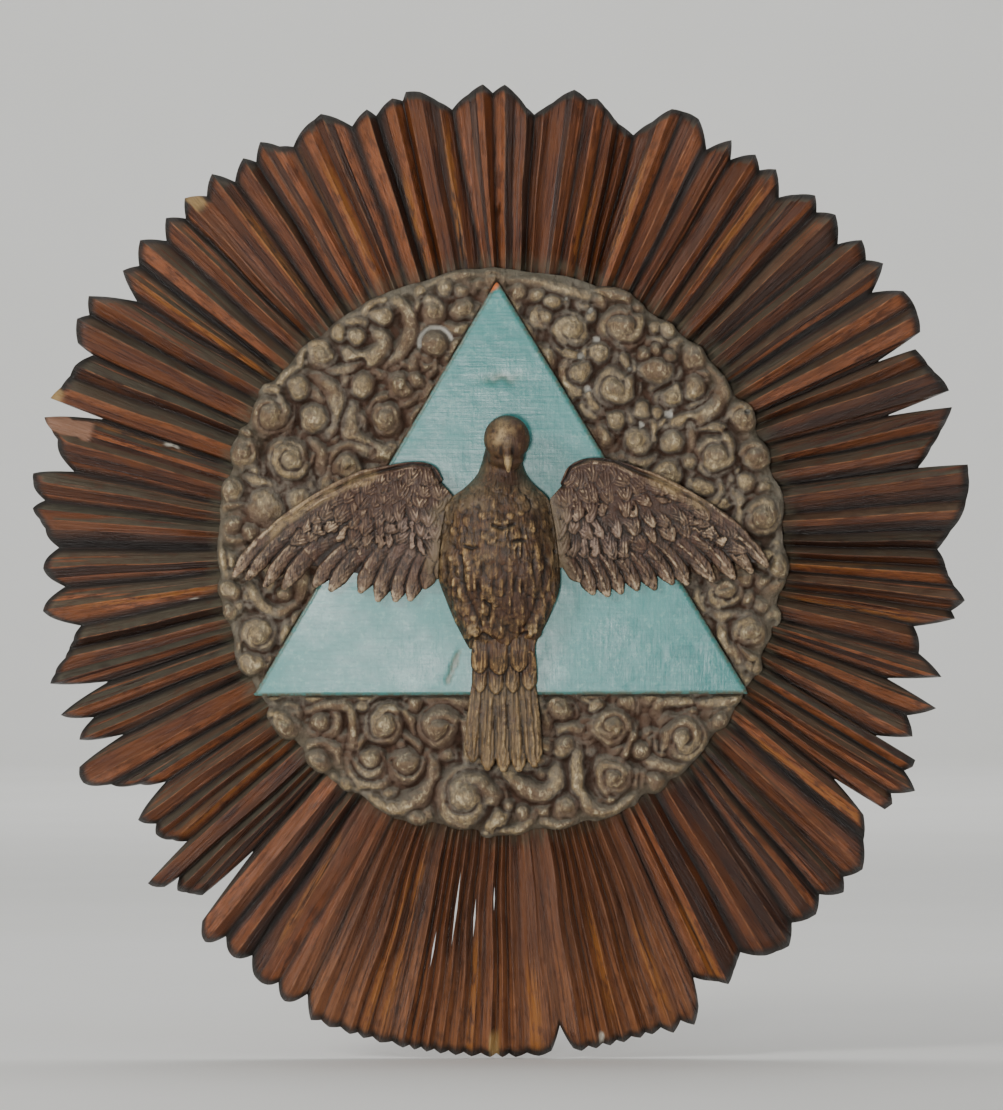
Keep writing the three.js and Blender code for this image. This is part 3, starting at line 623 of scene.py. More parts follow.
def crack_cutter(bearing, near, far, width):
    """A thin pointed prism, for cutting a crack along a ray."""
    middle = (near + far) / 2
    half = math.degrees(width / 2 / middle)
    outline = [on_bearing(bearing, near), on_bearing(bearing - half, middle)]
    outline += [on_bearing(bearing, far), on_bearing(bearing + half, middle)]
    points = np.array([[*spot, level] for level in (-5, 40) for spot in outline])
    faces = [[0, 1, 2, 3], [7, 6, 5, 4]]
    faces += [[k, 4 + k, 4 + (k + 1) % 4, (k + 1) % 4] for k in range(4)]
    return mesh_object("crack", points, faces, [False] * len(faces), {})


# Cracks in the bottom board: bearing, first and last radius, width
CRACKS = [(187.2, 243, 300, 1.6), (184.2, 262, 292, 1.4), (181.2, 252, 272, 1.0), (189.7, 290, 318, 1.2)]


def cut_cracks(board):
    """Opens the cracks of the bottom board right through."""
    for crack in CRACKS:
        combine(board, crack_cutter(*crack), "DIFFERENCE")


# Clouds

def rounded(share):
    """Height of a rounded ridge, by the share of its half width."""
    return np.clip(1 - share**2, 0, 1) ** 0.68


def lay(grid, where, share, height, moat=1.5):
    """Raises a rounded form on the grid and cuts a groove around it."""
    field = grid.z[where] - moat * smoothstep(1.4, 1.0, share) * (share >= 1)
    raised = CLOUD_GROUND - 2 + (height + 2) * rounded(share)
    grid.z[where] = np.where(share < 1, np.maximum(raised, np.minimum(field, raised + 1.2)), field)


def around_place(grid, px, py, size, tall):
    """The window about a place, with the offsets from it in shares of the size."""
    x, y = place(px, py)
    radius = size * STEP
    margin = radius * max(tall, 1) * 1.5 + 3
    where = grid.window((x - margin, y - margin), (x + margin, y + margin))
    return where, (grid.bent_x[where] - x) / radius, (grid.bent_y[where] - y) / (radius * tall)


def boss(grid, px, py, size, lift=1.0, tall=1.0):
    """A rounded lump."""
    where, dx, dy = around_place(grid, px, py, size, tall)
    lay(grid, where, np.hypot(dx, dy) / 0.92, (3.4 + 0.7 * size * STEP) * lift, 1.4)


def swept_ridge(grid, px, py, stations, height):
    """A ridge that sweeps about a place, through stations of bearing, distance and half width."""
    rows = []
    for bearing, reach, half in stations:
        dx, dy = on_bearing(bearing, reach)
        rows.append((px + dx, py - dy, half))
    ridge_along(grid, rows, height, 0.8)


def hook(grid, px, py, size, lift):
    """A curl that half holds a lump and sweeps away from it."""
    turn = (px * 7 + py * 13) % 360
    hand = 1 if (px + py) % 2 < 1 else -1
    curl = ((110, 1.1, 0.4), (60, 1.12, 0.46), (0, 1.16, 0.5), (-55, 1.25, 0.52), (-90, 1.6, 0.5))
    stations = [(turn + hand * swing, reach * size, half * size) for swing, reach, half in curl]
    swept_ridge(grid, px, py, stations, (2 + 0.42 * size * STEP) * lift)


def trail(grid, px, py, size, turns, start, hand, eye):
    """The loose outer end of a scroll, sweeping away from it."""
    half = 0.5 * size * (1 - eye) / turns
    curl = ((-40, 0.9, 1), (0, 1.0, 1.1), (32, 1.16, 1.1), (58, 1.45, 1.0), (72, 1.75, 0.9))
    stations = [(start - hand * swing, reach * size, max(half * wide, 4.5)) for swing, reach, wide in curl]
    swept_ridge(grid, px, py, stations, 3 + 0.4 * size * STEP)


def scroll(grid, px, py, size, turns, start, hand, eye, lift=1.0):
    """A cloud scroll: a rope that winds in from its loose outer end to a round eye."""
    where, dx, dy = around_place(grid, px, py, size, 1.0)
    radius = size * STEP
    angle = (hand * (np.arctan2(dx, dy) - math.radians(start)) / (2 * math.pi)) % 1
    share = np.hypot(dx, dy) / (1.08 - 0.22 * angle)
    height = (4.4 + 0.58 * radius) * lift
    lay(grid, where, share, height)
    phase = (1 - share) * turns / (1 - eye) - angle
    ridge = np.abs(np.sin(math.pi * phase)) ** 0.75
    pitch = radius * (1 - eye) / turns
    deep = min(0.74 * pitch, 7.0) * smoothstep(-0.1, 0.1, phase) * smoothstep(1.0, 0.92, share)
    cut = deep * (1 - ridge)
    in_eye = smoothstep(eye * 1.1, eye * 0.8, share)
    eye_ball = 0.24 * radius * (1 - (share / eye) ** 2)
    grid.z[where] += np.where(share < 1, -cut * (1 - in_eye) + in_eye * (eye_ball - 0.8), 0)


def ridge_along(grid, rows, height, moat=1.3):
    """A rounded ridge through places with half widths, gouged along its length, that sinks at its ends."""
    path = smooth_path([[*place(px, py), 1.08 * half * STEP] for px, py, half in rows], 6)
    where, share, along, side, _ = along_stroke(grid, path, 1.5)
    sinking = 0.4 + 0.6 * np.sin(math.pi * np.clip(along, 0, 1)) ** 0.7
    lay(grid, where, share, height * sinking, moat)
    grid.z[where] += 0.35 * np.sin(side * 2 * math.pi / 3.1) * np.clip(1 - share, 0, 1)


def groove(grid, rows, depth):
    """A thin cut through places with half widths."""
    path = [[*place(px, py), half * STEP] for px, py, half in rows]
    where, ratio, _, _, _ = along_stroke(grid, smooth_path(path), 1.2)
    grid.z[where] -= depth * np.clip(1 - ratio, 0, 1)


# Ridges: the height, then places with half widths
RIDGES = [
    (8, (395, 300, 6), (408, 312, 7.5), (411, 332, 8), (401, 351, 9), (384, 362, 8)),
    (10.5, (376, 329, 8), (384, 345, 10), (373, 357, 11), (356, 359, 10), (342, 350, 8)),
    (6, (304, 374, 5), (330, 371, 6), (350, 369, 6.5), (362, 364, 5)),
    (8.5, (316, 376, 7), (330, 387, 9.5), (337, 401, 11), (336, 417, 11.5), (325, 433, 9)),
    (8.5, (354, 405, 7), (350, 430, 10), (364, 447, 11), (390, 455, 8)),
    (7, (325, 486, 8), (330, 463, 8.5), (346, 448, 8), (369, 452, 7)),
    (6.5, (418, 352, 5), (413, 366, 6.5), (420, 392, 6)),
    (6, (445, 326, 6), (455, 330, 6.5), (470, 326, 5)), (6, (248, 477, 6), (263, 484, 7), (280, 486, 7)),
    (5.5, (218, 515, 6), (228, 505, 6.5), (246, 500, 7)),
    (6, (310, 440, 6), (322, 452, 7), (320, 470, 7)), (6, (398, 405, 5), (410, 400, 6), (418, 392, 5)),
    (8.5, (711, 366, 6), (722, 384, 8), (718, 404, 10), (700, 417, 10), (678, 423, 8), (662, 435, 5.5)),
    (7, (616, 350, 4.5), (614, 361, 5), (618, 373, 4.5)),
    (6, (634, 357, 5), (636, 372, 6), (632, 388, 5)), (7, (590, 384, 6), (592, 400, 7), (603, 412, 6)),
    (6, (680, 370, 5), (676, 384, 6), (684, 400, 6)), (6, (624, 455, 6), (640, 462, 7), (655, 458, 6)),
    (6.5, (690, 425, 6), (692, 440, 7), (694, 470, 8)), (6, (683, 340, 6), (672, 346, 6), (680, 358, 5)),
    (7, (735, 490, 7), (742, 507, 8), (741, 530, 8), (748, 545, 6)),
    (6, (777, 478, 5), (782, 495, 6), (787, 515, 6)),
    (5.5, (512, 281, 6), (535, 283, 7), (560, 290, 7), (592, 298, 6)),
    (5, (430, 283, 7), (452, 277, 7), (478, 272, 6)), (7, (769, 592, 7), (782, 580, 8), (787, 562, 6)),
    (8, (722, 620, 6), (724, 640, 7.5), (738, 659, 6.5)),
    (7, (767, 618, 5), (778, 611, 6.5), (781, 626, 7.5), (771, 643, 6)),
    (6, (700, 560, 7), (712, 572, 8), (709, 590, 7)), (6, (712, 610, 6), (722, 616, 6.5), (737, 612, 6)),
    (6, (217, 535, 6), (221, 556, 7), (226, 577, 6)), (6.5, (240, 640, 6), (236, 655, 7), (242, 680, 6)),
    (7, (251, 586, 6), (261, 604, 7), (276, 613, 8), (293, 604, 6)),
    (6, (290, 560, 7), (303, 575, 8), (300, 595, 7)), (6, (262, 560, 6), (272, 572, 7), (270, 588, 6)),
    (7, (310, 711, 5), (329, 704, 6), (350, 709, 6), (354, 732, 6), (349, 757, 6)),
    (8, (303, 756, 6), (317, 744, 7.5), (335, 749, 8.5), (340, 763, 7)),
    (8, (349, 755, 6), (356, 777, 7.5), (376, 784, 8), (393, 773, 7)),
    (9.5, (429, 752, 7), (433, 779, 10), (415, 801, 11), (390, 809, 10), (367, 797, 8)),
    (9, (575, 741, 7), (576, 768, 8.5), (578, 791, 9), (592, 808, 9), (612, 812, 8.5), (633, 795, 7)),
    (10, (506, 773, 7), (524, 786, 10), (542, 793, 11), (556, 784, 11), (554, 764, 9)),
    (7, (543, 821, 6), (562, 825, 7.5), (577, 814, 6)),
    (7.5, (499, 832, 6), (520, 829, 7.5), (532, 815, 6.5)),
    (8, (640, 748, 8), (654, 763, 9), (672, 766, 8), (696, 766, 8)),
    (6, (700, 704, 6), (726, 701, 6), (747, 697, 5)), (6, (655, 712, 6), (662, 702, 6.5), (690, 701, 6)),
    (6.5, (646, 800, 6), (662, 796, 7), (678, 784, 6)),
    (5.5, (425, 700, 6), (446, 701, 7), (468, 704, 6)), (6, (540, 700, 6), (548, 716, 7), (544, 732, 6)),
    (6, (524, 748, 6), (534, 758, 7), (545, 760, 6)),
]

# Scrolls: place, radius, turns, bearing of the outer end, hand (1 winds in clockwise), share of the eye
SCROLLS = [
    (322, 354, 17, 1.1, 300, 1, 0.42), (271, 415, 23, 1.0, 20, 1, 0.46), (386, 417, 18, 1.2, 330, -1, 0.42),
    (435, 311, 17, 1.4, 300, 1, 0.34), (462, 310, 13, 1.1, 0, 1, 0.42), (242, 452, 19, 1.3, 30, 1, 0.4),
    (290, 459, 25, 1.6, 100, 1, 0.3), (348, 466, 16, 1.2, 230, 1, 0.4), (231, 490, 14, 1.1, 200, 1, 0.45),
    (400, 385, 17, 1.1, 60, 1, 0.45), (571, 330, 22, 1.1, 200, 1, 0.42), (622, 326, 27, 1.1, 20, 1, 0.4),
    (600, 355, 15, 1.2, 300, 1, 0.38), (614, 387, 24, 1.0, 60, 1, 0.42), (672, 395, 13, 1.1, 0, 1, 0.42),
    (694, 357, 15, 1.2, 200, 1, 0.38), (637, 440, 16, 1.0, 100, 1, 0.5), (742, 417, 19, 1.3, 260, 1, 0.34),
    (715, 455, 25, 1.1, 20, 1, 0.42), (755, 455, 19, 1.2, 270, 1, 0.4), (668, 475, 17, 1.2, 240, 1, 0.4),
    (762, 517, 23, 1.0, 290, 1, 0.5), (748, 630, 19, 1.1, 230, 1, 0.44), (725, 593, 19, 1.0, 200, 1, 0.55),
    (260, 634, 21, 1.0, 250, 1, 0.45), (283, 728, 18, 1.1, 330, 1, 0.4), (319, 763, 16, 1.1, 300, 1, 0.42),
    (385, 725, 24, 1.1, 50, -1, 0.42), (440, 727, 25, 1.1, 70, -1, 0.4), (372, 762, 19, 1.0, 290, -1, 0.6),
    (407, 765, 20, 1.0, 60, 1, 0.55), (467, 797, 35, 1.0, 110, -1, 0.42), (560, 708, 15, 1.2, 270, 1, 0.4),
    (610, 727, 23, 1.7, 100, -1, 0.24), (614, 775, 23, 1.7, 200, 1, 0.24), (684, 738, 28, 1.7, 240, 1, 0.22),
    (778, 567, 14, 1.0, 100, 1, 0.5), (565, 806, 15, 1.1, 200, 1, 0.45),
]

# Bosses: place, radius and how much they stand out
BOSSES = [
    (382, 316, 13, 1), (341, 332, 11, 1.1), (357, 336, 12, 1.25), (299, 387, 15, 1), (314, 418, 18, 1),
    (362, 385, 15, 1), (417, 380, 10, 1), (435, 344, 15, 1.1), (266, 507, 23, 0.55), (300, 500, 16, 0.6),
    (234, 526, 12, 0.8), (253, 532, 11, 0.7), (580, 372, 14, 1), (656, 368, 21, 0.9), (644, 353, 9, 1.5),
    (656, 349, 9, 1.5), (669, 355, 9, 1.5), (695, 387, 16, 1), (656, 329, 9, 1), (669, 331, 10, 1),
    (641, 410, 11, 1), (657, 413, 8, 1.1), (615, 420, 13, 1), (672, 442, 16, 0.9), (745, 481, 12, 0.9),
    (704, 487, 13, 0.8), (690, 463, 10, 0.8), (725, 590, 12, 1.2), (760, 668, 10, 1), (744, 578, 10, 0.8),
    (748, 682, 8, 0.8), (230, 591, 12, 1), (228, 612, 11, 1), (285, 594, 10, 1), (252, 664, 16, 1),
    (246, 560, 10, 0.8), (300, 620, 10, 0.8), (322, 722, 13, 1), (372, 758, 13, 1.1), (407, 760, 15, 1.1),
    (418, 819, 12, 0.9), (346, 786, 11, 0.9), (362, 706, 8, 0.9), (414, 705, 9, 0.9), (333, 780, 9, 0.9),
    (395, 824, 9, 0.8), (564, 745, 14, 1), (596, 703, 9, 1), (524, 812, 9, 0.9), (657, 782, 13, 1),
    (722, 720, 12, 0.9), (640, 750, 11, 1), (636, 808, 10, 0.9), (598, 824, 9, 0.8), (700, 772, 10, 0.9),
    (445, 290, 11, 0.9), (460, 292, 9, 0.9), (480, 285, 8, 0.7), (519, 292, 10, 0.9), (537, 296, 11, 0.9),
    (553, 302, 11, 1), (600, 303, 9, 0.8), (640, 306, 10, 0.8), (591, 317, 8, 0.9), (547, 318, 9, 0.9),
    (508, 806, 9, 0.8), (484, 838, 9, 0.7), (450, 836, 8, 0.7), (545, 745, 9, 0.8), (520, 705, 8, 0.8),
]


def small_lobes(grid):
    """Low lobes that fill all the room between the large scrolls."""
    chance = np.random.default_rng(7)
    placed = []
    for _ in range(6000):
        spot = on_bearing(chance.uniform(0, 360), 206 * math.sqrt(chance.uniform(0, 1)))
        size = chance.uniform(11, 17)
        if all(math.dist(spot, other) > 0.85 * STEP * (size + reach) for other, reach in placed):
            placed.append((spot, size))
    for (x, y), size in placed:
        px, py = as_steps(x, y)
        lift = chance.uniform(0.3, 0.55)
        if size > 12:
            scroll(grid, px, py, size + 2, 1.1, chance.uniform(0, 360), chance.choice([-1, 1]), 0.45, lift)
        else:
            boss(grid, px, py, size + 2, lift, chance.uniform(0.8, 1.3))


def rim_lobes(grid):
    """Small lumps along the medallion's edge, lower at the top."""
    chance = np.random.default_rng(11)
    count = 50
    for k in range(count):
        bearing = 360 * (k + chance.uniform(-0.35, 0.35)) / count
        px, py = as_steps(*on_bearing(bearing, chance.uniform(198, 207)))
        lift = chance.uniform(0.6, 1.0) * (0.5 if math.cos(math.radians(bearing)) > 0.85 else 1)
        size = chance.uniform(10, 16)
        boss(grid, px, py, size, lift, chance.uniform(0.8, 1.3))


# Small gaps and chips in the clouds that show pale: place and radius
SPOTS = [
    (566, 299, 2.4), (590, 312, 3), (596, 340, 3.4), (580, 357, 3.2), (587, 390, 3.4), (629, 370, 2.6),
    (669, 414, 4.6), (641, 425, 3.2), (769, 426, 3.2), (747, 412, 2.4),
]


def pierced_spots(grid):
    """Sinks the small spots and a thin crescent. Gives how pale each place is."""
    pale = np.zeros_like(grid.x)
    for px, py, size in SPOTS:
        x, y = place(px, py)
        wobble = 1 + 0.5 * grid.noise(2.4, 91)
        share = np.hypot(grid.x - x, grid.y - y) / (size * STEP * wobble)
        near = smoothstep(1.15, 0.75, share)
        grid.z += (SPOT_FLOOR - grid.z) * near * (grid.z > SPOT_FLOOR)
        pale = np.maximum(pale, near)
    crescent = [[*(place(435.5, 344) + on_bearing(bearing, 16.4 * STEP)), 1.8]
                for bearing in np.linspace(-100, 72, 16)]
    where, share, _, _, _ = along_stroke(grid, crescent, 1.5)
    near = smoothstep(1.1, 0.7, share) * smoothstep(-0.8, -0.4, grid.noise(3.5, 92, where))
    grid.z[where] += (22 - grid.z[where]) * near
    pale[where] = np.maximum(pale[where], near)
    return pale


def triangle_distance(x, y):
    """Signed distance to the triangle's outline, negative inside."""
    corners = [np.array(corner) for corner in TRIANGLE]
    furthest = np.full(x.shape, -np.inf)
    for k in range(3):
        a = corners[k]
        b = corners[(k + 1) % 3]
        along = (b - a) / np.hypot(*(b - a))
        furthest = np.maximum(furthest, (x - a[0]) * along[1] - (y - a[1]) * along[0])
    return furthest


def polygon_distance(x, y, corners):
    """Signed distance to a closed outline of any shape, negative inside."""
    corners = np.asarray(corners, float)
    nearest = np.full(x.shape, np.inf)
    inside = np.zeros(x.shape, bool)
    for a, b in zip(corners, np.roll(corners, -1, 0)):
        edge = b - a
        t = np.clip(((x - a[0]) * edge[0] + (y - a[1]) * edge[1]) / (edge @ edge), 0, 1)
        nearest = np.minimum(nearest, np.hypot(x - a[0] - edge[0] * t, y - a[1] - edge[1] * t))
        crosses = (a[1] > y) != (b[1] > y)
        with np.errstate(divide="ignore", invalid="ignore"):
            at = (b[0] - a[0]) * (y - a[1]) / (b[1] - a[1]) + a[0]
        inside ^= crosses & (x < at)
    return np.where(inside, -nearest, nearest)


# Outlines of the places where the wings and the tail rest on the clouds
WING_SHADOW = [
    (30, -10), (40, 56), (60, 69), (106, 66), (152, 42),
    (182, 18), (204, -8), (200, -20), (150, -34), (60, -36),
]
TAIL_SHADOW = [(-30, -60), (30, -60), (34, -158), (18, -165), (-16, -165), (-33, -156)]


def cloud_disc():
    """The medallion: ground, curls, gouge marks, rim, the triangle's pocket and room for the dove."""
    grid = Grid((-221, -221), (221, 221), 1.05)
    radius = np.hypot(grid.x, grid.y)
    bearing = np.degrees(np.arctan2(grid.x, grid.y))
    grid.bent_x = grid.x + 1.7 * grid.noise(14, 4) + 0.7 * grid.noise(5.5, 5)
    grid.bent_y = grid.y + 1.7 * grid.noise(14, 6) + 0.7 * grid.noise(5.5, 7)
    grid.z = CLOUD_GROUND - 1 + 0.8 * grid.layered(16, 3)
    small_lobes(grid)
    rim_lobes(grid)
    for px, py, size, lift in BOSSES:
        if size > 11:
            hook(grid, px, py, size, lift)
    for row in SCROLLS:
        trail(grid, *row)
    for height, *rows in RIDGES:
        ridge_along(grid, rows, height)
    for row in SCROLLS:
        scroll(grid, *row)
    for row in BOSSES:
        boss(grid, *row)
    filled = blurred(grid.z, 4)
    grid.z += 0.5 * np.clip(filled - 3.1 - grid.z, 0, 9)
    grid.z = blurred(grid.z, 0.7)
    grid.z += 1.0 * grid.layered(8, 11) + 0.55 * grid.noise(3.6, 15)
    grid.z -= 0.8 * smoothstep(0.35, 0.8, grid.noise(4.5, 16))
    pale = pierced_spots(grid)

    lumps = smoothstep(24, 30, blurred(grid.z, 3.5))
    outside = radius - np.minimum(210 + 7 * lumps + 1.2 * noise(bearing, radius * 0, 7, 21), RIM_LIMIT)
    lip = smoothstep(-10, -4, outside)
    grid.z = np.maximum(grid.z, 20 + 4 * lip + 1.2 * grid.layered(9, 23))
    grid.z -= smoothstep(-8, 0.5, outside) ** 2 * np.maximum(grid.z - 20.8, 1.2) * 0.8

    triangle = triangle_distance(grid.x, grid.y)
    grid.z = POCKET_FLOOR + (grid.z - POCKET_FLOOR) * smoothstep(0.4, 1.7, triangle)
    wings = np.minimum(
        polygon_distance(grid.x, grid.y, WING_SHADOW),
        polygon_distance(-grid.x, grid.y, WING_SHADOW),
    )
    tail = polygon_distance(grid.x, grid.y, TAIL_SHADOW)
    grid.z = np.minimum(grid.z, 31.6 + 3 * np.clip(wings, 0, 20))
    grid.z = np.minimum(grid.z, 35.6 + 3 * np.clip(tail, 0, 20))

    marks = {
        "proud": relief_marks(grid, 5.5),
        "edge": relief_marks(grid, 1.5),
        "lift": grid.z - CLOUD_GROUND,
        "pale": pale,
        "rim": smoothstep(-22, -2, outside),
    }
    under_triangle = triangle < -6.5
    made = cloud_object(grid, np.where(under_triangle, 5.0, outside), marks)
    finish_piece(made, "cloud_disc")
    return made


def cloud_object(grid, outside, marks):
    """The medallion as a closed body: carved face, rim, flat flange and the round core behind."""
    inside = outside < 0.3 * grid.step
    outline = np.where(inside, outside, np.minimum(outside, grid.step))
    x, y, used, quads, loops = cut_out(grid, outline)
    points = np.column_stack([x, y, grid.z.ravel()[used]])
    values = {mark: field.ravel()[used] for mark, field in marks.items()}
    faces = quads.tolist()
    smooth = [True] * len(faces)
    rim = loops[0]
    count = len(rim)
    bearing = np.arctan2(x[rim], y[rim])
    core_x = CORE_RADIUS * np.sin(bearing)
    core_y = CORE_RADIUS * np.cos(bearing)
    rings = ((x[rim], y[rim], FLANGE_BOTTOM), (core_x, core_y, FLANGE_BOTTOM), (core_x, core_y, 0.0))
    above = rim
    after = np.roll(np.arange(count), -1)
    for ring_x, ring_y, level in rings:
        low = len(points) + np.arange(count)
        points = np.vstack([points, np.column_stack([ring_x, ring_y, np.full(count, level)])])
        values = {mark: np.concatenate([held, held[rim]]) for mark, held in values.items()}
        faces += np.column_stack([above[after], above, low, low[after]]).tolist()
        smooth += [False] * count
        above = low
    faces.append(above[::-1].tolist())
    smooth.append(False)
    for loop in loops[1:]:
        points[loop, 2] = POCKET_FLOOR
        faces.append(loop[::-1].tolist())
        smooth.append(False)
    return mesh_object("dressed_cloud_disc", points, faces, smooth, values)


# Triangle

def triangle_board():
    """The painted board with its worn edge, a chip at the top, a dent and a scrape."""
    grid = Grid((-187, -111), (187, 204), 1.7)
    outside = triangle_distance(grid.x, grid.y)
    grid.z = np.full_like(grid.x, float(TRIANGLE_FACE))
    grid.z += 0.22 * grid.layered(38, 31) + 0.05 * grid.noise(6, 35)
    grid.z -= smoothstep(-1.7, 0, outside) ** 2 * 0.45
    chip_x, chip_y = place(494, 286)
    ragged = 1 + 0.3 * grid.noise(4, 36)
    chip = smoothstep(1.15, 0.85, np.hypot((grid.x - chip_x) / 4.2, (grid.y - chip_y) / 4.8) / ragged)
    grid.z -= chip * 1.1
    dent_x, dent_y = place(501, 379)
    wander = 2.5 * grid.noise(7, 37)
    dent = np.exp(-(((grid.x - dent_x) / 13) ** 2) - ((grid.y - dent_y + wander) / 4) ** 2)
    grid.z -= dent * 0.35
    stations = ((459, 652, 2.0), (455, 662, 3.0), (451, 672, 2.2), (448, 681, 2.4))
    scratch = [[*place(px, py), half] for px, py, half in stations]
    where, share, _, _, _ = along_stroke(grid, scratch, 1.6)
    scrape = np.zeros_like(grid.x)
    scrape[where] = smoothstep(1.5, 0.3, share + 0.3 * grid.noise(3, 38, where))
    grid.z -= scrape * 0.25
    marks = {
        "chip": chip,
        "smudge": np.clip(dent * 0.8 + scrape, 0, 1),
        "rim": smoothstep(-3.4, -1.2, outside),
    }
    return relief_piece("triangle", grid, outside, TRIANGLE_BACK, marks)


# Feathers

def lay_feather(grid, cover, root, tip, half, height, peak=0.0, bend=0.0, quill=0.0, barb=0.25, drop=0.8,
                fine=2.2, slant=0.3, taper=0.8, flat=2.6, early=0.3, frayed=0.0):
    """Lays one feather over the wing's surface; it stands out most near its tip.

    peak moves its crest sideways, quill raises its middle line, barb is the depth of its fine lines,
    fine their spacing and slant their lean. It narrows to its tip from taper on. flat squares off its
    section, early is the share of its height that it already has at its root, and frayed ragged edges.
    """
    root = np.asarray(root, float)
    tip = np.asarray(tip, float)
    away = tip - root
    length = np.hypot(*away)
    across = np.array([-away[1], away[0]]) / length
    rows = []
    for t in np.linspace(0, 1, 15):
        spot = root + away * t + across * bend * math.sin(math.pi * t)
        narrowing = 0.55 * max(t - taper, 0) / (1 - taper)
        wide = 0.75 + 0.25 * math.sin(math.pi * min(t / 1.3, 1)) - narrowing
        rows.append([*spot, half * wide])
    where, share, along, side, _ = along_stroke(grid, rows, 1.4)
    share = share + frayed * along * grid.noise(2.3, 39, where)
    place_across = np.clip(side / half, -1, 1)
    away_from_peak = np.where(
        place_across < peak,
        (peak - place_across) / (1 + peak),
        (place_across - peak) / (1 - peak),
    )
    shape = np.clip(1 - away_from_peak**flat, 0, 1) ** 0.7 * np.clip((1 - share) * 5, 0, 1) ** 0.5
    z = grid.base[where] + height * (early + (1 - early) * smoothstep(0, 0.9, along)) * shape
    z = z + quill * np.exp(-((place_across / 0.14) ** 2)) * smoothstep(0.1, 0.3, along)
    ripple = np.abs(side) * 0.9 + along * length * slant + 0.8 * grid.noise(6, 40, where)
    z = z + barb * np.sin(ripple * 2 * math.pi / fine) * np.clip(1.1 - share, 0, 1) ** 0.5
    z = z - drop * along**4
    field = grid.z[where]
    field = field - 0.35 * smoothstep(1.3, 1.0, share) * (share >= 1) * smoothstep(0.6, 0.9, along)
    over = np.where(along > 0.28, z, np.maximum(field, z))
    grid.z[where] = np.where(share < 1, over, field)
    tipped = smoothstep(0.4, 1.0, along) * smoothstep(1.0, 0.8, share)
    grid.tipped[where] = np.where((share < 1) & (along > 0.28), tipped, grid.tipped[where])
    cover[where] = np.minimum(cover[where], (share - 1) * half * 0.8)


def lay_row(grid, tips, count, point_first, point_last, length, half, height, seed, barb):
    """A row of overlapping feathers with their tips along a curve; point gives the way they point."""
    chance = np.random.default_rng(seed)
    curve = smooth_path(tips, 10)
    cover = np.zeros_like(grid.x)
    for k in range(count):
        t = k / (count - 1)
        spot = [np.interp(t * (len(curve) - 1), np.arange(len(curve)), column) for column in curve.T]
        tip = np.array(spot) + chance.uniform(-2.8, 2.8, 2)
        angle = math.radians(point_first + (point_last - point_first) * t + chance.uniform(-17, 17))
        root = tip - length * chance.uniform(0.85, 1.15) * np.array([math.cos(angle), math.sin(angle)])
        wide = half * chance.uniform(0.8, 1.45)
        bend = chance.uniform(-1.5, 1.5)
        tall = height * chance.uniform(0.6, 1.4)
        lay_feather(grid, cover, root, tip, wide, tall, bend=bend, barb=barb,
                    taper=0.7, flat=4, early=0.0, frayed=0.3)


def fill_base(grid, outline):
    """Lays the solid wood under the feathers. Gives the distance outside it."""
    distance = polygon_distance(grid.x, grid.y, outline)
    grid.z = np.where(distance < 0, grid.base, grid.z)
    return np.minimum(distance, FAR)


def wing_surface(grid, edge_line, reach):
    """The wing's smooth swelling, highest just below its leading edge and widest at the shoulder."""
    path = [[x, y, 75] for x, y in edge_line]
    where, _, along, _, apart = along_stroke(grid, path)
    top = WING_TIP_CREST + (SHOULDER_CREST - WING_TIP_CREST) * smoothstep(0.15, 0.75, along)
    wide = WING_TIP_REACH + (reach - WING_TIP_REACH) * smoothstep(0, 0.65, along)
    rise = np.sqrt(1 - (1 - np.clip(apart / 7, 0, 1)) ** 2)
    fall = 1 - smoothstep(0.15, 1.0, apart / wide)
    grid.base = np.full_like(grid.x, WING_LOWEST)
    grid.base[where] = WING_LOWEST + (top - WING_LOWEST) * (0.6 + 0.4 * rise) * (0.12 + 0.88 * fall)
    beside_body = smoothstep(16, 0, -body_gap(grid))
    grid.base += beside_body * (flank_height(grid.y) - grid.base)
    grid.z = grid.base - 1.0
    grid.tipped = np.zeros_like(grid.x)
    grid.gilt = np.zeros_like(grid.x)


def lay_edge(grid, cover, rows, golden):
    """The leading edge: rows of (x, y, half width), a low striated band, golden between two x."""
    path = smooth_path(rows, 6)
    where, share, along, side, _ = along_stroke(grid, path, 1.3)
    wavy = 1.5 * grid.noise(12, 41, where)
    striae = 0.35 * np.sin((side + wavy) * 2 * math.pi / 2.4 + along * 9)
    z = grid.base[where] + 1.9 * rounded(share) + striae
    field = grid.z[where]
    grid.z[where] = np.where(share < 1, np.maximum(field, z), field)
    x = grid.x[where]
    within = smoothstep(golden[0] - 6, golden[0] + 6, x) * smoothstep(golden[1] + 6, golden[1] - 6, x)
    grid.gilt[where] = np.maximum(grid.gilt[where], smoothstep(1.5, 0.6, share) * within)
    cover[where] = np.minimum(cover[where], (share - 1) * 5)


# Leading edges, from the wing's tip to the shoulder
LEFT_EDGE = [
    (-199, -17), (-181, 4), (-164, 21), (-132, 42), (-106, 54), (-88, 59), (-66, 64), (-52, 62), (-45, 50),
]
RIGHT_EDGE = [
    (198, -10), (187, 4), (172, 19), (146, 37), (118, 52),
    (102, 58), (84, 66), (66, 68), (52, 62), (45, 48),
]

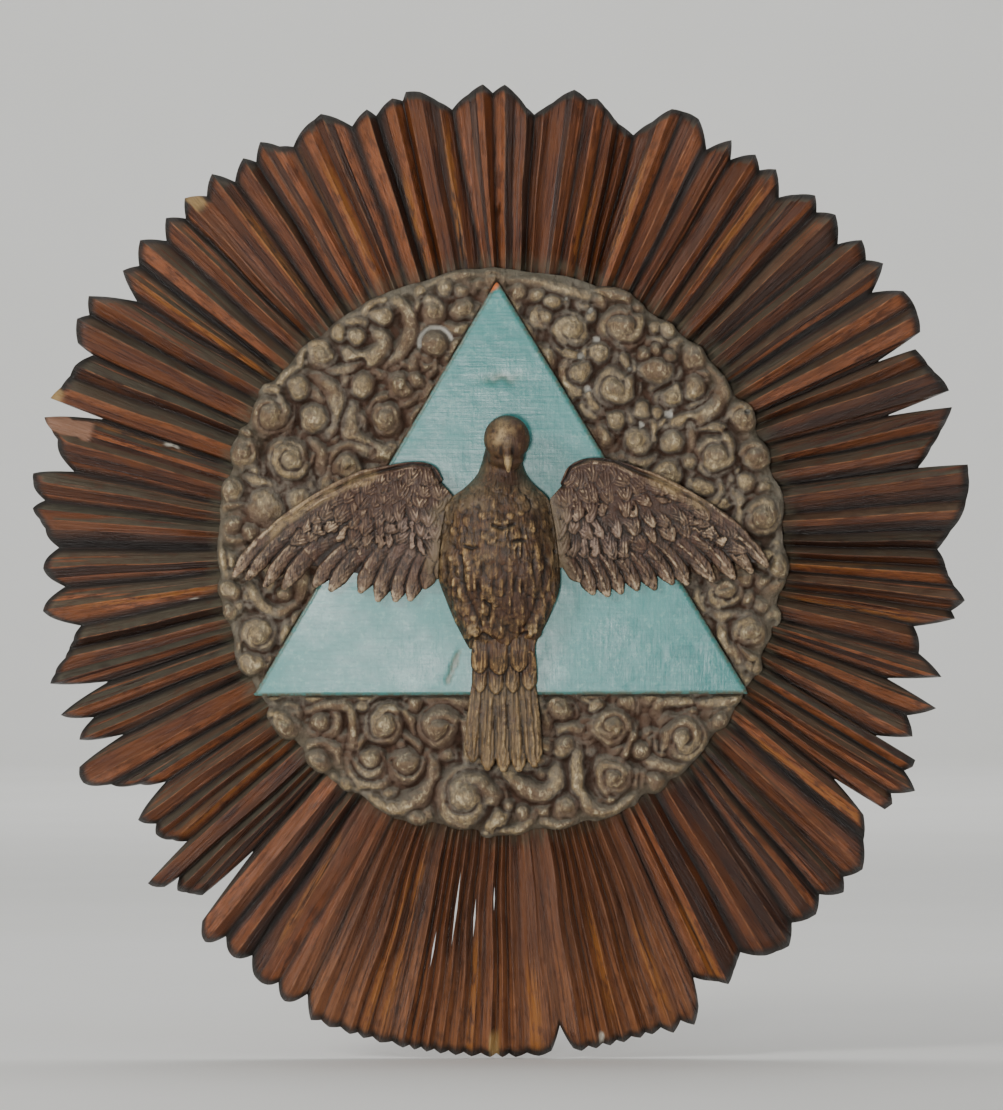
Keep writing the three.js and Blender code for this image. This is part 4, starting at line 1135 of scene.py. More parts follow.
# Main feathers: root, tip, half width and bend
LEFT_PRIMARIES = [
    [(-150, 27), (-199, -18.5), 5.5, -4], [(-139, 25), (-189, -21), 5.8, -4],
    [(-130, 20), (-176, -26), 6.2, -4], [(-120, 14), (-162, -27.5), 6.8, -4],
    [(-104, 8), (-139, -26), 6.6, -3], [(-93, 7), (-127, -29), 6.8, -3],
    [(-80, 7), (-105, -30), 7, -2.5], [(-71, 6), (-92, -36.5), 7, -2.5],
    [(-61, 5), (-79, -36.5), 7, -2], [(-52, 4), (-68, -36), 6.8, -2],
    [(-45, 2), (-57, -27), 6.8, -1.5], [(-37, -2), (-46, -20), 6.5, -1],
]
RIGHT_PRIMARIES = [
    [(152, 24), (198, -11.5), 5.5, 4], [(144, 20), (186, -15.5), 6, 4],
    [(133, 16), (173, -20), 6.4, 4], [(121, 11), (157, -21.5), 7, 3],
    [(109, 9), (138, -24), 7, 3], [(99, 7), (127, -24), 6.6, 3],
    [(88, 6), (114, -28), 6.6, 2.5], [(78, 5), (101, -28.5), 6.6, 2.5],
    [(68, 4), (89, -31), 6.6, 2], [(59, 3), (79, -33), 6.6, 2],
    [(51, 2), (68, -31.5), 6.6, 1.5], [(43, 0), (58, -22), 6.5, 1],
]

# Covert rows: the curve of their tips, how many feathers, the way the first and the last point,
# length, half width, height, seed and depth of the barbs
LEFT_COVERTS = [
    ([(-158, 4), (-134, 11), (-118, 5), (-100, 3), (-84, 3), (-72, 5), (-60, 1), (-48, -9)],
     13, 222, 268, 22, 5.4, 2.6, 41, 0.55),
    ([(-150, 14), (-122, 17), (-96, 14), (-72, 15), (-50, 7)], 12, 225, 268, 19, 5.2, 2.2, 42, 0.55),
    ([(-140, 24), (-112, 26), (-84, 24), (-52, 20)], 10, 225, 268, 17, 5.4, 1.7, 43, 0.6),
    ([(-124, 36), (-100, 35), (-76, 33), (-50, 31)], 9, 226, 268, 16, 5.6, 1.3, 44, 0.7),
    ([(-110, 45), (-88, 43), (-68, 42), (-48, 41)], 8, 230, 268, 17, 6.0, 1.1, 45, 0.8),
    ([(-92, 52), (-76, 52), (-60, 52), (-48, 50)], 8, 240, 268, 18, 5.6, 0.9, 46, 0.9),
]
RIGHT_COVERTS = [
    ([(166, 5), (152, 13), (134, 11), (115, 5), (94, -1), (75, -6), (59, -3), (44, -5)],
     13, -40, -84, 22, 5.6, 2.8, 51, 0.55),
    ([(172, 12), (150, 23), (134, 20), (116, 18), (97, 12), (78, 8), (60, 12), (45, 8)],
     12, -38, -84, 19, 5.4, 2.5, 52, 0.55),
    ([(136, 36), (112, 32), (90, 27), (66, 25), (46, 22)], 9, -34, -84, 17, 5.6, 2.1, 53, 0.55),
    ([(118, 46), (94, 41), (70, 38), (47, 36)], 9, -30, -84, 16, 5.6, 1.5, 54, 0.7),
    ([(98, 54), (82, 51), (64, 50), (49, 48)], 8, -30, -84, 15, 5.6, 1.1, 55, 0.8),
    ([(180, 2), (162, 18), (144, 30), (124, 41)], 7, -40, -32, 20, 5, 2.2, 56, 0.55),
]


def wing_marks(grid):
    """Wear of the wings: dark shoulders, pale coverts by the body and a glaze that turns to the body's."""
    out = np.abs(grid.x) + 6 * grid.noise(16, 64)
    up = grid.y + 5 * grid.noise(12, 65)
    beside = smoothstep(14, 1, -body_gap(grid) + 5 * grid.noise(7, 66))
    return {
        "proud": relief_marks(grid, 2.6),
        "tipped": grid.tipped,
        "pale": grid.gilt * (0.4 + 0.35 * grid.noise(8, 63)),
        "sombre": smoothstep(20, 34, up) * smoothstep(140, 108, out) * (1 - beside),
        "rosy": smoothstep(98, 78, out) * smoothstep(30, 20, up) * smoothstep(-12, 0, up),
        "blend": beside,
    }


def wing_start(low, high, edge, reach, lower_edge):
    """The grid of a wing with its smooth wood laid, and the distance outside what is laid."""
    grid = Grid(low, high, WING_SPACING)
    wing_surface(grid, edge, reach)
    return grid, fill_base(grid, [*edge, *lower_edge])


def wing_piece(name, grid, cover):
    outside = np.maximum(cover, body_gap(grid))
    return relief_piece(name, grid, outside, DOVE_BACK, wing_marks(grid))


def left_wing():
    lower_edge = [(-36, 40), (-36, -12), (-80, -22), (-128, -14), (-165, -8), (-192, -14)]
    grid, cover = wing_start((-205, -42), (-32, 74), LEFT_EDGE, 88, lower_edge)
    for root, tip, half, bend in LEFT_PRIMARIES:
        lay_feather(grid, cover, root, tip, half, 3.4, peak=-0.6, bend=bend, quill=0.3, barb=0.2)
    for row in LEFT_COVERTS:
        lay_row(grid, *row)
    lay_edge(grid, cover, [
        (-197, -15, 3.2), (-180, 4, 3.8), (-163, 21, 4.0), (-132, 41, 4.4), (-106, 54, 4.4), (-88, 59, 3.4),
        (-66, 63, 2.6), (-52, 61, 2.2), (-46, 52, 2),
    ], (-175, -96))
    grid.z = blurred(grid.z, 0.5)
    grid.z += 0.3 * grid.layered(4, 61) + 0.5 * grid.noise(9, 62)
    patch_x, patch_y = place(367, 480)
    across = grid.x - patch_x
    patch = smoothstep(1.3, 0.6, np.hypot(across / 9, (grid.y - patch_y - 0.3 * across) / 4.5))
    grid.gilt = np.maximum(grid.gilt, patch)
    return wing_piece("dove_wing_left", grid, cover)


def right_wing():
    lower_edge = [(36, 38), (36, -12), (80, -18), (128, -14), (165, -8), (192, -10)]
    grid, cover = wing_start((32, -40), (205, 76), RIGHT_EDGE, 86, lower_edge)
    for root, tip, half, bend in RIGHT_PRIMARIES:
        lay_feather(grid, cover, root, tip, half, 2.8, peak=0.1, bend=bend, quill=1.4, barb=0.3)
    for row in RIGHT_COVERTS:
        lay_row(grid, *row)
    lay_edge(grid, cover, [
        (196, -8, 3.0), (186, 4, 3.4), (172, 19, 3.8), (146, 36, 4.2), (118, 51, 4.6), (102, 57, 4),
        (84, 64, 3), (66, 66, 2.6), (52, 61, 2.2), (46, 50, 2),
    ], (108, 152))
    grid.z = blurred(grid.z, 0.5)
    grid.z += 0.35 * grid.layered(4, 71) + 0.6 * grid.noise(9, 72)
    return wing_piece("dove_wing_right", grid, cover)


# Body

# Stations of the dove's body: height up the plaque, left and right edge, crown of the section
BODY = [
    (80, -10, 16, 58), (76, -12, 16, 59), (66, -14.6, 15.6, 60), (56, -18.6, 19, 62), (46, -28, 27, 66),
    (40, -36, 33.5, 69), (33, -41, 36.5, 71), (15, -44.5, 40, 75), (-5, -46.5, 42.5, 76),
    (-21, -47, 43.5, 74), (-36, -42, 40.5, 68), (-51, -36, 35.5, 61), (-66, -28.5, 27.5, 53),
    (-74, -24, 24, 48),
]


def flank_height(y):
    """Height at which the wings meet the body."""
    return 43 + 7 * smoothstep(-28, 0, y)


def inside_body(x, y):
    """How far a place is inside the body's left and right edges."""
    rows = np.array(BODY)[::-1]
    left = np.interp(y, rows[:, 0], rows[:, 1])
    right = np.interp(y, rows[:, 0], rows[:, 2])
    return np.minimum(x - left, right - x)


def body_gap(grid):
    """Signed distance that keeps a wing just clear of the body."""
    return inside_body(grid.x, grid.y) + 0.1


def trunk():
    """The body without its head and legs."""
    around = 48
    base = DOVE_BACK + 3
    rings = []
    for y, left, right, crown in smooth_path(BODY, 7):
        middle = (left + right) / 2
        half = (right - left) / 2
        angle = np.linspace(0, math.pi, around)
        across = np.cos(angle)
        height = base + (crown - base) * np.sin(angle) ** 0.85
        held = smoothstep(-27, -14, y) * smoothstep(54, 44, y)
        height = np.maximum(height, base + (flank_height(y) - 0.5 - base) * held)
        front = np.column_stack([middle + half * across, np.full(around, y), height])
        back = [[middle + half * share, y, DOVE_BACK] for share in (-0.96, 0, 0.96)]
        rings.append(np.vstack([front, back]))
    return lofted(rings)


def lofted(rings):
    """Points and faces of a closed body through equal rings of points."""
    count = len(rings[0])
    points = np.vstack(rings)
    faces = []
    for k in range(len(rings) - 1):
        for i in range(count):
            a = k * count + i
            b = k * count + (i + 1) % count
            faces.append([a, b, b + count, a + count])
    last = (len(rings) - 1) * count
    faces.append(list(range(count))[::-1])
    faces.append([last + i for i in range(count)])
    return points, faces


def egg(centre, size, rows=28, around=40):
    """A ball or egg: centre and half sizes in x, y and z."""
    rings = []
    for polar in np.linspace(0.03, math.pi - 0.03, rows):
        angle = np.linspace(0, 2 * math.pi, around, endpoint=False)
        rings.append(np.column_stack([
            centre[0] + size[0] * math.sin(polar) * np.cos(angle),
            np.full(around, centre[1] + size[1] * math.cos(polar)),
            centre[2] + size[2] * math.sin(polar) * np.sin(angle),
        ]))
    return lofted(rings)


def horn(rows, around=12):
    """A tapering rod: rows of centre (x, y, z) and half sizes across and deep."""
    rings = []
    for x, y, z, wide, deep in smooth_path(rows, 5):
        angle = np.linspace(0, 2 * math.pi, around, endpoint=False)
        rings.append(np.column_stack([
            x + wide * np.cos(angle),
            np.full(around, y) + 0.25 * deep * np.sin(angle),
            z + deep * np.sin(angle),
        ]))
    return lofted(rings)


def body_forms():
    """Trunk, skull, throat, beak, the folded legs and the feet."""
    x, y, z = HEAD
    return [
        trunk(),
        egg(HEAD, (HEAD_RADIUS, HEAD_RADIUS * 1.02, HEAD_RADIUS)),
        egg((x - 0.6, y - 12, z - 5.5), (13.6, 13, 14)),
        horn([(x + 0.6, y - 8, z + 11.5, 4.2, 5), (x + 0.8, y - 14, z + 14.4, 3.5, 4),
              (x + 0.9, y - 20, z + 15.4, 2.6, 3), (x + 1, y - 25, z + 14.6, 1.2, 1.4)]),
        horn([(-38.5, -10, 44, 7, 9), (-36, -28, 47, 7.5, 9),
              (-29, -45, 49, 6.5, 7), (-22, -60, 49, 5.5, 5.5)]),
        horn([(36.5, -10, 44, 7, 9), (36, -28, 47, 7.5, 9),
              (31, -45, 49, 6.5, 7), (24.5, -60, 49, 5.5, 5.5)]),
        egg((-20.6, -61, 50), (7, 6, 6.6), 14, 18),
        egg((23.6, -61, 50), (6.6, 6, 6.4), 14, 18),
    ]


def tuft(grid, x, y, half, length, height, angle):
    """A short rounded feather tip that stands proud and points along an angle."""
    way = np.array([math.cos(math.radians(angle)), math.sin(math.radians(angle))])
    root = np.array([x, y]) - way * length
    path = [[*(root + way * length * t), half * (0.75 + 0.25 * t)] for t in (0, 0.35, 0.7, 1.0)]
    where, share, along, side, _ = along_stroke(grid, path, 1.4)
    z = height * (0.1 + 0.9 * along) * np.clip(1 - share**3, 0, 1) ** 0.5
    z = z + 0.35 * np.sin(side * 2 * math.pi / 2.2) * (1 - share)
    field = grid.z[where] - 0.35 * smoothstep(1.35, 1.0, share) * (share >= 1)
    grid.z[where] = np.where(share < 1, np.maximum(field, z), field)
    tipped = along * smoothstep(1, 0.7, share) * height / 3
    grid.tipped[where] = np.where(share < 1, tipped, grid.tipped[where])


# Cuts in the body, slits on the breast first, then folds at the legs: depth, places with half widths
GROOVES = [
    (2.4, (493, 525, 2), (503, 528, 3.6), (514, 524, 2)),
    (2.4, (514, 541, 2), (520, 540, 2.6), (526, 541, 1.6)),
    (2.4, (464, 546, 2), (470, 548, 2.6), (476, 547, 1.6)),
    (2.4, (484, 600, 2), (490, 608, 3), (488, 620, 2.4)),
    (2.0, (460, 556, 3), (463, 585, 5), (471, 606, 5), (480, 626, 4)),
    (2.0, (547, 560, 3), (543, 585, 5), (536, 606, 5), (526, 626, 4)),
    (2.2, (484, 634, 3), (496, 643, 3.4), (506, 649, 3), (516, 642, 3.4), (526, 632, 3)),
]


def body_detail():
    """Plumage as heights over the body: small tufts on the breast, streaks below, folds at the legs."""
    grid = Grid((-56, -84), (52, 106), 0.55)
    grid.tipped = np.zeros_like(grid.x)
    chance = np.random.default_rng(17)
    row = 0
    y = -60.0
    while y < 58:
        shift = 0.5 if row % 2 else 0.0
        small = smoothstep(-40, 20, y)
        pitch = 9.6 - 2.2 * small
        for k in range(-7, 8):
            x = (k + shift) * pitch + chance.uniform(-2, 2)
            height = chance.uniform(0.1, 1.3) * (1 - 0.8 * smoothstep(36, 58, y))
            length = chance.uniform(10, 16) - 4 * small
            turn = -90 + x * 0.3 + chance.uniform(-16, 16)
            tuft(grid, x, y + chance.uniform(-3, 3), pitch * chance.uniform(0.4, 0.75), length, height, turn)
        y += 6.6 - 0.8 * small
        row += 1
    grid.z += 0.95 * noise(grid.x, grid.y * 0.14, 2.0, 81) * smoothstep(48, -10, grid.y)
    grid.z += 1.5 * layered_noise(grid.x, grid.y * 0.7, 11, 82) * smoothstep(60, 44, grid.y)
    grid.z += 0.3 * noise(grid.x, grid.y * 0.3, 2.0, 83)
    for depth, *rows in GROOVES:
        groove(grid, rows, depth)
    return grid


def head_detail(x, y):
    """Small forms of the head: dents at the bill's root and an uneven skull."""
    lift = 0.5 * layered_noise(x, y, 7, 84)
    for side in (-1, 1):
        lift = lift - 0.8 * np.exp(-(((x - HEAD[0] - side * 4.6) / 1.2) ** 2) - ((y - HEAD[1] + 9) / 4) ** 2)
    return lift


def pale_parts_and_highlights(x, y, z):
    """Paler places on the body: beak, feet and a worn spot by the left foot, and painted highlights on the
    crown and the breast.
    """
    beak = smoothstep(4.2, 2.8, np.abs(x - HEAD[0] - 0.8)) * smoothstep(71, 68, y)
    pale = beak * smoothstep(55.5, 57, y) * smoothstep(71, 73, z) * 0.9
    for px, py, size in ((473, 629, 7), (532, 629, 7), (473, 618, 3.5)):
        spot_x, spot_y = place(px, py)
        apart = np.hypot(x - spot_x, y - spot_y)
        pale = np.maximum(pale, 0.7 * smoothstep(size * STEP, size * STEP * 0.4, apart))
    # Painted highlight on the upper left of the head
    crown = smoothstep(15, 5, np.hypot(x - HEAD[0] + 5, y - HEAD[1] - 3)) * smoothstep(64, 68, z)
    # Painted highlight on the left of the breast
    breast_x, breast_y = place(484, 548)
    breast = smoothstep(22, 6, np.hypot((x - breast_x) * 1.2, y - breast_y)) * smoothstep(64, 68, z)
    pale = np.maximum(pale, 0.4 * breast * smoothstep(-0.2, 0.7, layered_noise(x, y, 5, 90)))
    return np.maximum(pale, 0.85 * crown * smoothstep(-0.9, 0.5, layered_noise(x, y, 6, 87)))


def flank_blend(x, y):
    """Where the body's glaze turns dusty: its sides by the wings, and the neck."""
    inward = inside_body(x, y) + 4 * noise(x, y, 7, 67)
    flank = smoothstep(11, 0, inward) * smoothstep(-24, -8, y) * smoothstep(60, 46, y)
    sides = smoothstep(8, 20, np.abs(x - 1) + 4 * noise(x, y, 9, 68))
    neck = sides * smoothstep(24, 36, y) * smoothstep(70, 60, y)
    return 0.8 * np.maximum(flank, neck)


def body_shade_and_dark_patches(x, y, on_head):
    """Darker places: painted shade on the right of the head and a painted shadow on the throat under it, and
    darker patches in the belly's middle and below the breast's slits.
    """
    # Painted shade on the right of the head
    gloom = on_head * smoothstep(0, 9, x - HEAD[0] + 4 * noise(x, y, 6, 88)) * 0.8
    # The first spot is a painted shadow on the throat; the others are darker patches
    for px, py, wide, tall in ((508, 478, 12, 14), (516, 592, 24, 34), (478, 590, 9, 26), (540, 575, 10, 20)):
        spot_x, spot_y = place(px, py)
        reach = np.hypot((x - spot_x) / (wide * STEP), (y - spot_y) / (tall * STEP))
        gloom = np.maximum(gloom, 0.8 * smoothstep(1.3, 0.4, reach + 0.35 * noise(x, y, 6, 89)))
    return gloom


def joined_body():
    """The body's simple forms melted into one fine closed mesh."""
    points = np.zeros((0, 3))
    faces = []
    for form_points, form_faces in body_forms():
        faces += [[index + len(points) for index in face] for face in form_faces]
        points = np.vstack([points, form_points])
    body = mesh_object("dressed_dove_body", points, faces, [True] * len(faces), {})
    melt = body.modifiers.new("melt", "REMESH")
    melt.mode = "VOXEL"
    melt.voxel_size = 0.00082
    melt.use_smooth_shade = True
    soften = body.modifiers.new("soften", "SMOOTH")
    soften.factor = 0.6
    soften.iterations = 5
    apply_modifiers(body)
    return body


def dove_body():
    """The melted forms with plumage laid over their front, and the tail joined on."""
    body = joined_body()
    detail = body_detail()
    proud = relief_marks(detail, 2.4)
    points = vertex_vectors(body.data, "co")
    normals = vertex_vectors(body.data, "normal")
    x = points[:, 0] * 1000
    y = points[:, 2] * 1000
    facing = smoothstep(-0.05, 0.45, -normals[:, 1])
    front = smoothstep(0.0352, 0.040, -points[:, 1])
    on_head = smoothstep(60, 66, y)
    on_body = 1 - on_head
    lift = detail.sample(detail.z, x, y) * on_body + head_detail(x, y) * on_head
    lift = np.clip(lift - 0.9 * on_body, -3.2, 2.2) * facing * front
    points += normals * lift[:, None] / 1000
    body.data.vertices.foreach_set("co", points.ravel().astype(np.float32))
    marks = {
        "proud": detail.sample(proud, x, y) * facing * on_body + head_detail(x, y) * on_head * facing,
        "tipped": detail.sample(detail.tipped, x, y) * facing * on_body,
        "pale": pale_parts_and_highlights(x, y, -points[:, 1] * 1000),
        # sombre on the body: painted shade on the head's right and the throat, and darker belly patches
        "sombre": body_shade_and_dark_patches(x, y, on_head),
        "rosy": np.zeros_like(x),
        "blend": flank_blend(x, y),
    }
    for mark, values in marks.items():
        body.data.attributes.new(mark, "FLOAT", "POINT").data.foreach_set("value", values.astype(np.float32))
    combine(body, tail_object(), "UNION")
    body.data.polygons.foreach_set("use_smooth", [True] * len(body.data.polygons))
    finish_piece(body, "dove_body")
    return body


# Tail feathers: root, tip and half width
TAIL_FEATHERS = [
    [(-15.5, -92), (-21.5, -156), 7.2], [(-7, -92), (-10.5, -162), 7.4], [(2, -92), (1.5, -163), 7.4],
    [(11, -92), (13, -163), 7.4], [(19, -92), (24.5, -160), 7.2],
]


def tail_object():
    """The tail's five feathers under two rows of short ones."""
    grid = Grid((-36, -168), (36, -54), 0.6)
    grid.base = TAIL_BACK + 3.4 + 8.5 * smoothstep(-98, -72, grid.y) - 1.2 * ((grid.x - 2) / 26) ** 2
    grid.z = grid.base - 1.5
    grid.tipped = np.zeros_like(grid.x)
    base = [(-22, -56), (26, -56), (24, -90), (25, -105), (29, -148), (-24, -146), (-19, -105), (-19, -90)]
    cover = fill_base(grid, base)
    for root, tip, half in TAIL_FEATHERS:
        lay_feather(grid, cover, root, tip, half, 2.6, quill=0.9, barb=0.6, drop=0.4, fine=2.7,
                    slant=0.0, taper=0.88, flat=3.2)
    for length, height, *tips in (
        (24, 3.6, (480, 689, 8), (496, 691, 8.4), (513, 689, 8.4), (529, 687, 8)),
        (22, 3.2, (480, 670, 9), (499, 671, 10), (519, 668, 9.5)),
    ):
        for px, py, half in tips:
            x, y = place(px, py)
            root = (x, y + length)
            lay_feather(grid, cover, root, (x, y), half * STEP, height, barb=0.45, drop=0.2, slant=0.1)
    grid.z = blurred(grid.z, 0.5)
    grid.z += 0.45 * noise(grid.x, grid.y * 0.12, 1.7, 85) + 0.3 * grid.layered(6, 86)
    lower = smoothstep(-92, -104, grid.y)
    marks = {
        "proud": relief_marks(grid, 2.2),
        "tipped": grid.tipped,
        "pale": 0.08 * lower,
        "sombre": np.zeros_like(grid.x),
        "rosy": np.zeros_like(grid.x),
        "blend": 0.45 * lower,
    }
    return relief_object("tail", grid, cover, TAIL_BACK, marks)


# Materials

class Look:
    """A material built of nodes: a ground colour, coats over it, roughness and bump."""

    def __init__(self, name, roughness, specular):
        self.material = bpy.data.materials.new(name)
        self.material.use_nodes = True
        self.tree = self.material.node_tree
        self.shader = self.tree.nodes["Principled BSDF"]
        self.shader.inputs["Roughness"].default_value = roughness
        self.shader.inputs["Specular IOR Level"].default_value = specular

    def link(self, source, socket):
        """Feeds a socket from another node's output, or sets it to a value."""
        if hasattr(source, "is_output"):
            self.tree.links.new(source, socket)
        else:
            socket.default_value = source

    def node(self, kind, output, **inputs):
        """A new node with its inputs set, and one of its outputs."""
        made = self.tree.nodes.new("ShaderNode" + kind)
        for name, source in inputs.items():
            self.link(source, made.inputs[name.replace("_", " ")])
        return made, made.outputs[output]

    def mark(self, name, output="Fac"):
        """A named value of the mesh."""
        node, value = self.node("Attribute", output)
        node.attribute_name = name
        return value

    def place(self):
        return self.node("TexCoord", "Object")[1]

    def noise(self, vector, scale, detail, rough, warp=0.0):
        """Noise over places. Three scales stretch it along the axes."""
        if isinstance(scale, tuple):
            vector = self.node("Mapping", "Vector", Scale=scale, Vector=vector)[1]
            scale = 1.0
        return self.node("TexNoise", "Fac", Vector=vector, Scale=scale, Detail=detail,
                         Roughness=rough, Distortion=warp)[1]

    def spread(self, value, low, high, to_low=0.0, to_high=1.0):
        """Follows a value smoothly between two limits."""
        node, result = self.node("MapRange", "Result", Value=value, From_Min=low, From_Max=high,
                                 To_Min=to_low, To_Max=to_high)
        node.interpolation_type = "SMOOTHSTEP"
        return result

    def combined(self, operation, first, second):
        node, value = self.node("Math", "Value")
        node.operation = operation
        self.link(first, node.inputs[0])
        self.link(second, node.inputs[1])
        return value

    def plus(self, first, second):
        return self.combined("ADD", first, second)

    def times(self, *values):
        result = values[0]
        for value in values[1:]:
            result = self.combined("MULTIPLY", result, value)
        return result

    def ground(self, low, high, *factors):
        """The first colour, between two, by the product of the factors."""
        self.colour = rgb(low)
        self.coat(high, *factors)

    def coat(self, code, *factors):
        """Lays a colour over the present one, as thick as the product of the factors."""
        node = self.node("Mix", 0)[0]
        node.data_type = "RGBA"
        self.link(self.times(*factors), node.inputs["Factor"])
        self.link(self.colour, node.inputs[6])
        self.link(rgb(code), node.inputs[7])
        self.colour = node.outputs[2]

    def upward(self):
        """How far the surface faces up, from -1 to 1."""
        normal = self.node("NewGeometry", "Normal")[1]
        return self.node("SeparateXYZ", "Z", Vector=normal)[1]

    def roughness(self, source):
        self.link(source, self.shader.inputs["Roughness"])

    def bump(self, height, strength, distance):
        normal = self.node("Bump", "Normal", Strength=strength, Distance=distance, Height=height)[1]
        self.link(normal, self.shader.inputs["Normal"])

    def finished(self):
        """The material, with its last coat on the surface."""
        self.link(self.colour, self.shader.inputs["Base Color"])
        return self.material


def rgb(code):
    """A colour from its six hexadecimal digits, as linear light."""
    parts = [int(code[k:k + 2], 16) / 255 for k in (0, 2, 4)]
    return (*[p / 12.92 if p < 0.04045 else ((p + 0.055) / 1.055) ** 2.4 for p in parts], 1)


def ray_material():
    """Dark red-brown stain along the grain, crests lighter from wear and a painted highlight, gold and dust,
    painted sheen, painted shade in the valleys and hollows, and dark tips.
    """
    look = Look("varnished_ray_wood", 0.4, 0.5)
    grain = look.mark("grain", "Vector")
    streaks = look.noise(grain, (0.55, 0.012, 0), 5, 0.62)
    fine = look.noise(grain, (2.6, 0.05, 0), 5, 0.72)
    patches = look.noise(grain, (0.07, 0.02, 0), 3, 0.55)
    blotch = look.noise(grain, (0.26, 0.07, 0), 5, 0.68)
    proud = look.mark("proud")
    tone = look.mark("tone")
    dusty = look.mark("dusty")
    look.ground("3A1C0F", "67391F", look.spread(streaks, 0.36, 0.64))
    look.coat("935734", look.spread(tone, 0.5, 0.95), look.spread(blotch, 0.38, 0.56, 0.15, 1.0))
    look.coat("6E3C18", look.spread(patches, 0.44, 0.6, 0, 0.6))
    look.coat("1D0E07", look.spread(tone, 0.45, 0.0, 0, 0.82))
    look.coat("1C0D07", look.spread(fine, 0.5, 0.66, 0, 0.42))
    look.coat("583828", look.mark("ribbed"), look.spread(blotch, 0.3, 0.56, 0.2, 0.7))
    look.coat("8E5A36", look.mark("fair"), look.spread(streaks, 0.36, 0.58),
              look.spread(blotch, 0.34, 0.54, 0.3, 1.0), 0.85)
    # Lighter crests: partly wear, partly a painted highlight on what stands proud
    look.coat("9C6840", look.spread(proud, 0.1, 1.2), look.mark("crest"), look.spread(blotch, 0.4, 0.54),
              look.spread(fine, 0.62, 0.46), 0.8)
    look.coat("9A6128", look.mark("gold"), look.spread(streaks, 0.36, 0.54),
              look.spread(blotch, 0.36, 0.54), 0.8)
    # Painted sheen: a pale mauve coat where the varnish would reflect light
    look.coat("80604F", look.mark("lavender"), look.spread(streaks, 0.34, 0.6),
              look.spread(fine, 0.62, 0.42), 0.35)
    dust = look.times(look.spread(look.upward(), 0.4, 0.56), dusty, look.spread(blotch, 0.3, 0.48, 0.5, 1.0))
    look.coat("38352A", dust, 0.85)
    look.coat("706B58", dust, dusty, look.spread(blotch, 0.34, 0.6, 0.25, 1.0),
              look.spread(fine, 0.36, 0.6, 0.5, 1.0), look.spread(proud, -0.6, 0.3), 0.45)
    # Painted shade: darkens what lies below its surroundings and, by the shade mark, the valleys
    look.coat("0E0603", look.spread(proud, -0.2, -1.3, 0, 0.8))
    look.coat("0B0503", look.mark("shade"), 0.92)
    look.coat("1A1611", look.spread(look.mark("tip"), 0.25, 0.8), look.spread(blotch, 0.3, 0.55, 0.65, 0.98))
    rim = look.times(look.mark("rim"), look.spread(blotch, 0.38, 0.58, 0.1, 1.0))
    look.coat("625E4C", rim, 0.6)
    look.coat("8E6953", look.mark("bare"), look.spread(fine, 0.7, 0.45, 0.6, 1.0))
    look.coat("A98A58", look.mark("tan"), look.spread(fine, 0.7, 0.45, 0.5, 0.95))
    look.coat("C3BEB0", look.mark("white"))
    rough = look.plus(look.spread(streaks, 0.3, 0.7, 0.24, 0.42), look.times(dust, 0.4))
    look.roughness(look.plus(rough, look.times(rim, 0.25)))
    look.bump(look.plus(look.times(streaks, 0.8), look.times(fine, 0.5)), 0.8, 0.0022)
    return look.finished()


def cloud_material():
    """Dull grey-brown wood, pale where it stands proud from dry-brushing and a painted highlight, painted
    shade in the cuts, and dusty above.
    """
    look = Look("dusty_cloud_wood", 0.7, 0.4)
    at = look.place()
    broad = look.noise(at, 24, 4, 0.6)
    mottle = look.noise(at, 110, 5, 0.68)
    fine = look.noise(at, 430, 4, 0.7)
    brushed = look.noise(at, (300, 250, 190), 5, 0.7, 0.4)
    proud = look.mark("proud")
    look.ground("594F46", "837A6D", look.spread(mottle, 0.38, 0.62))
    look.coat("6A4E3B", look.spread(broad, 0.46, 0.56, 0, 0.65))
    # Dry-brushed pale and a painted highlight on what stands proud
    look.coat("BDA47A", look.spread(proud, -0.8, 2.8), look.spread(brushed, 0.38, 0.6, 0.3, 1.0),
              look.spread(broad, 0.6, 0.42, 0.3, 1.0), 0.85)
    # Painted highlight on the highest places, broken by brush streaks
    look.coat("DDCDA8", look.spread(proud, 0.2, 3.8), look.spread(brushed, 0.5, 0.62),
              look.spread(mottle, 0.42, 0.55), 0.85)
    # Painted shade in the cuts and fine grooves
    look.coat("42281A", look.spread(proud, -0.5, -3.2, 0, 0.8))
    look.coat("3A2618", look.spread(look.mark("edge"), -0.25, -1.1, 0, 0.6))
    look.coat("7A7A6E", look.spread(look.upward(), 0.0, 0.7), look.spread(broad, 0.38, 0.58, 0.35, 1.0),
              look.spread(fine, 0.7, 0.4, 0.5, 1.0), 0.6)
    look.coat("6C6857", look.mark("rim"), look.spread(look.mark("lift"), 7, 0),
              look.spread(broad, 0.3, 0.6, 0.4, 1.0), 0.6)
    look.coat("CFCCC2", look.mark("pale"), 0.9)
    look.roughness(look.spread(mottle, 0.3, 0.7, 0.33, 0.64))
    rough = look.plus(look.times(brushed, 0.8), look.times(fine, 0.6))
    look.bump(look.plus(rough, mottle), 0.9, 0.0034)
    return look.finished()


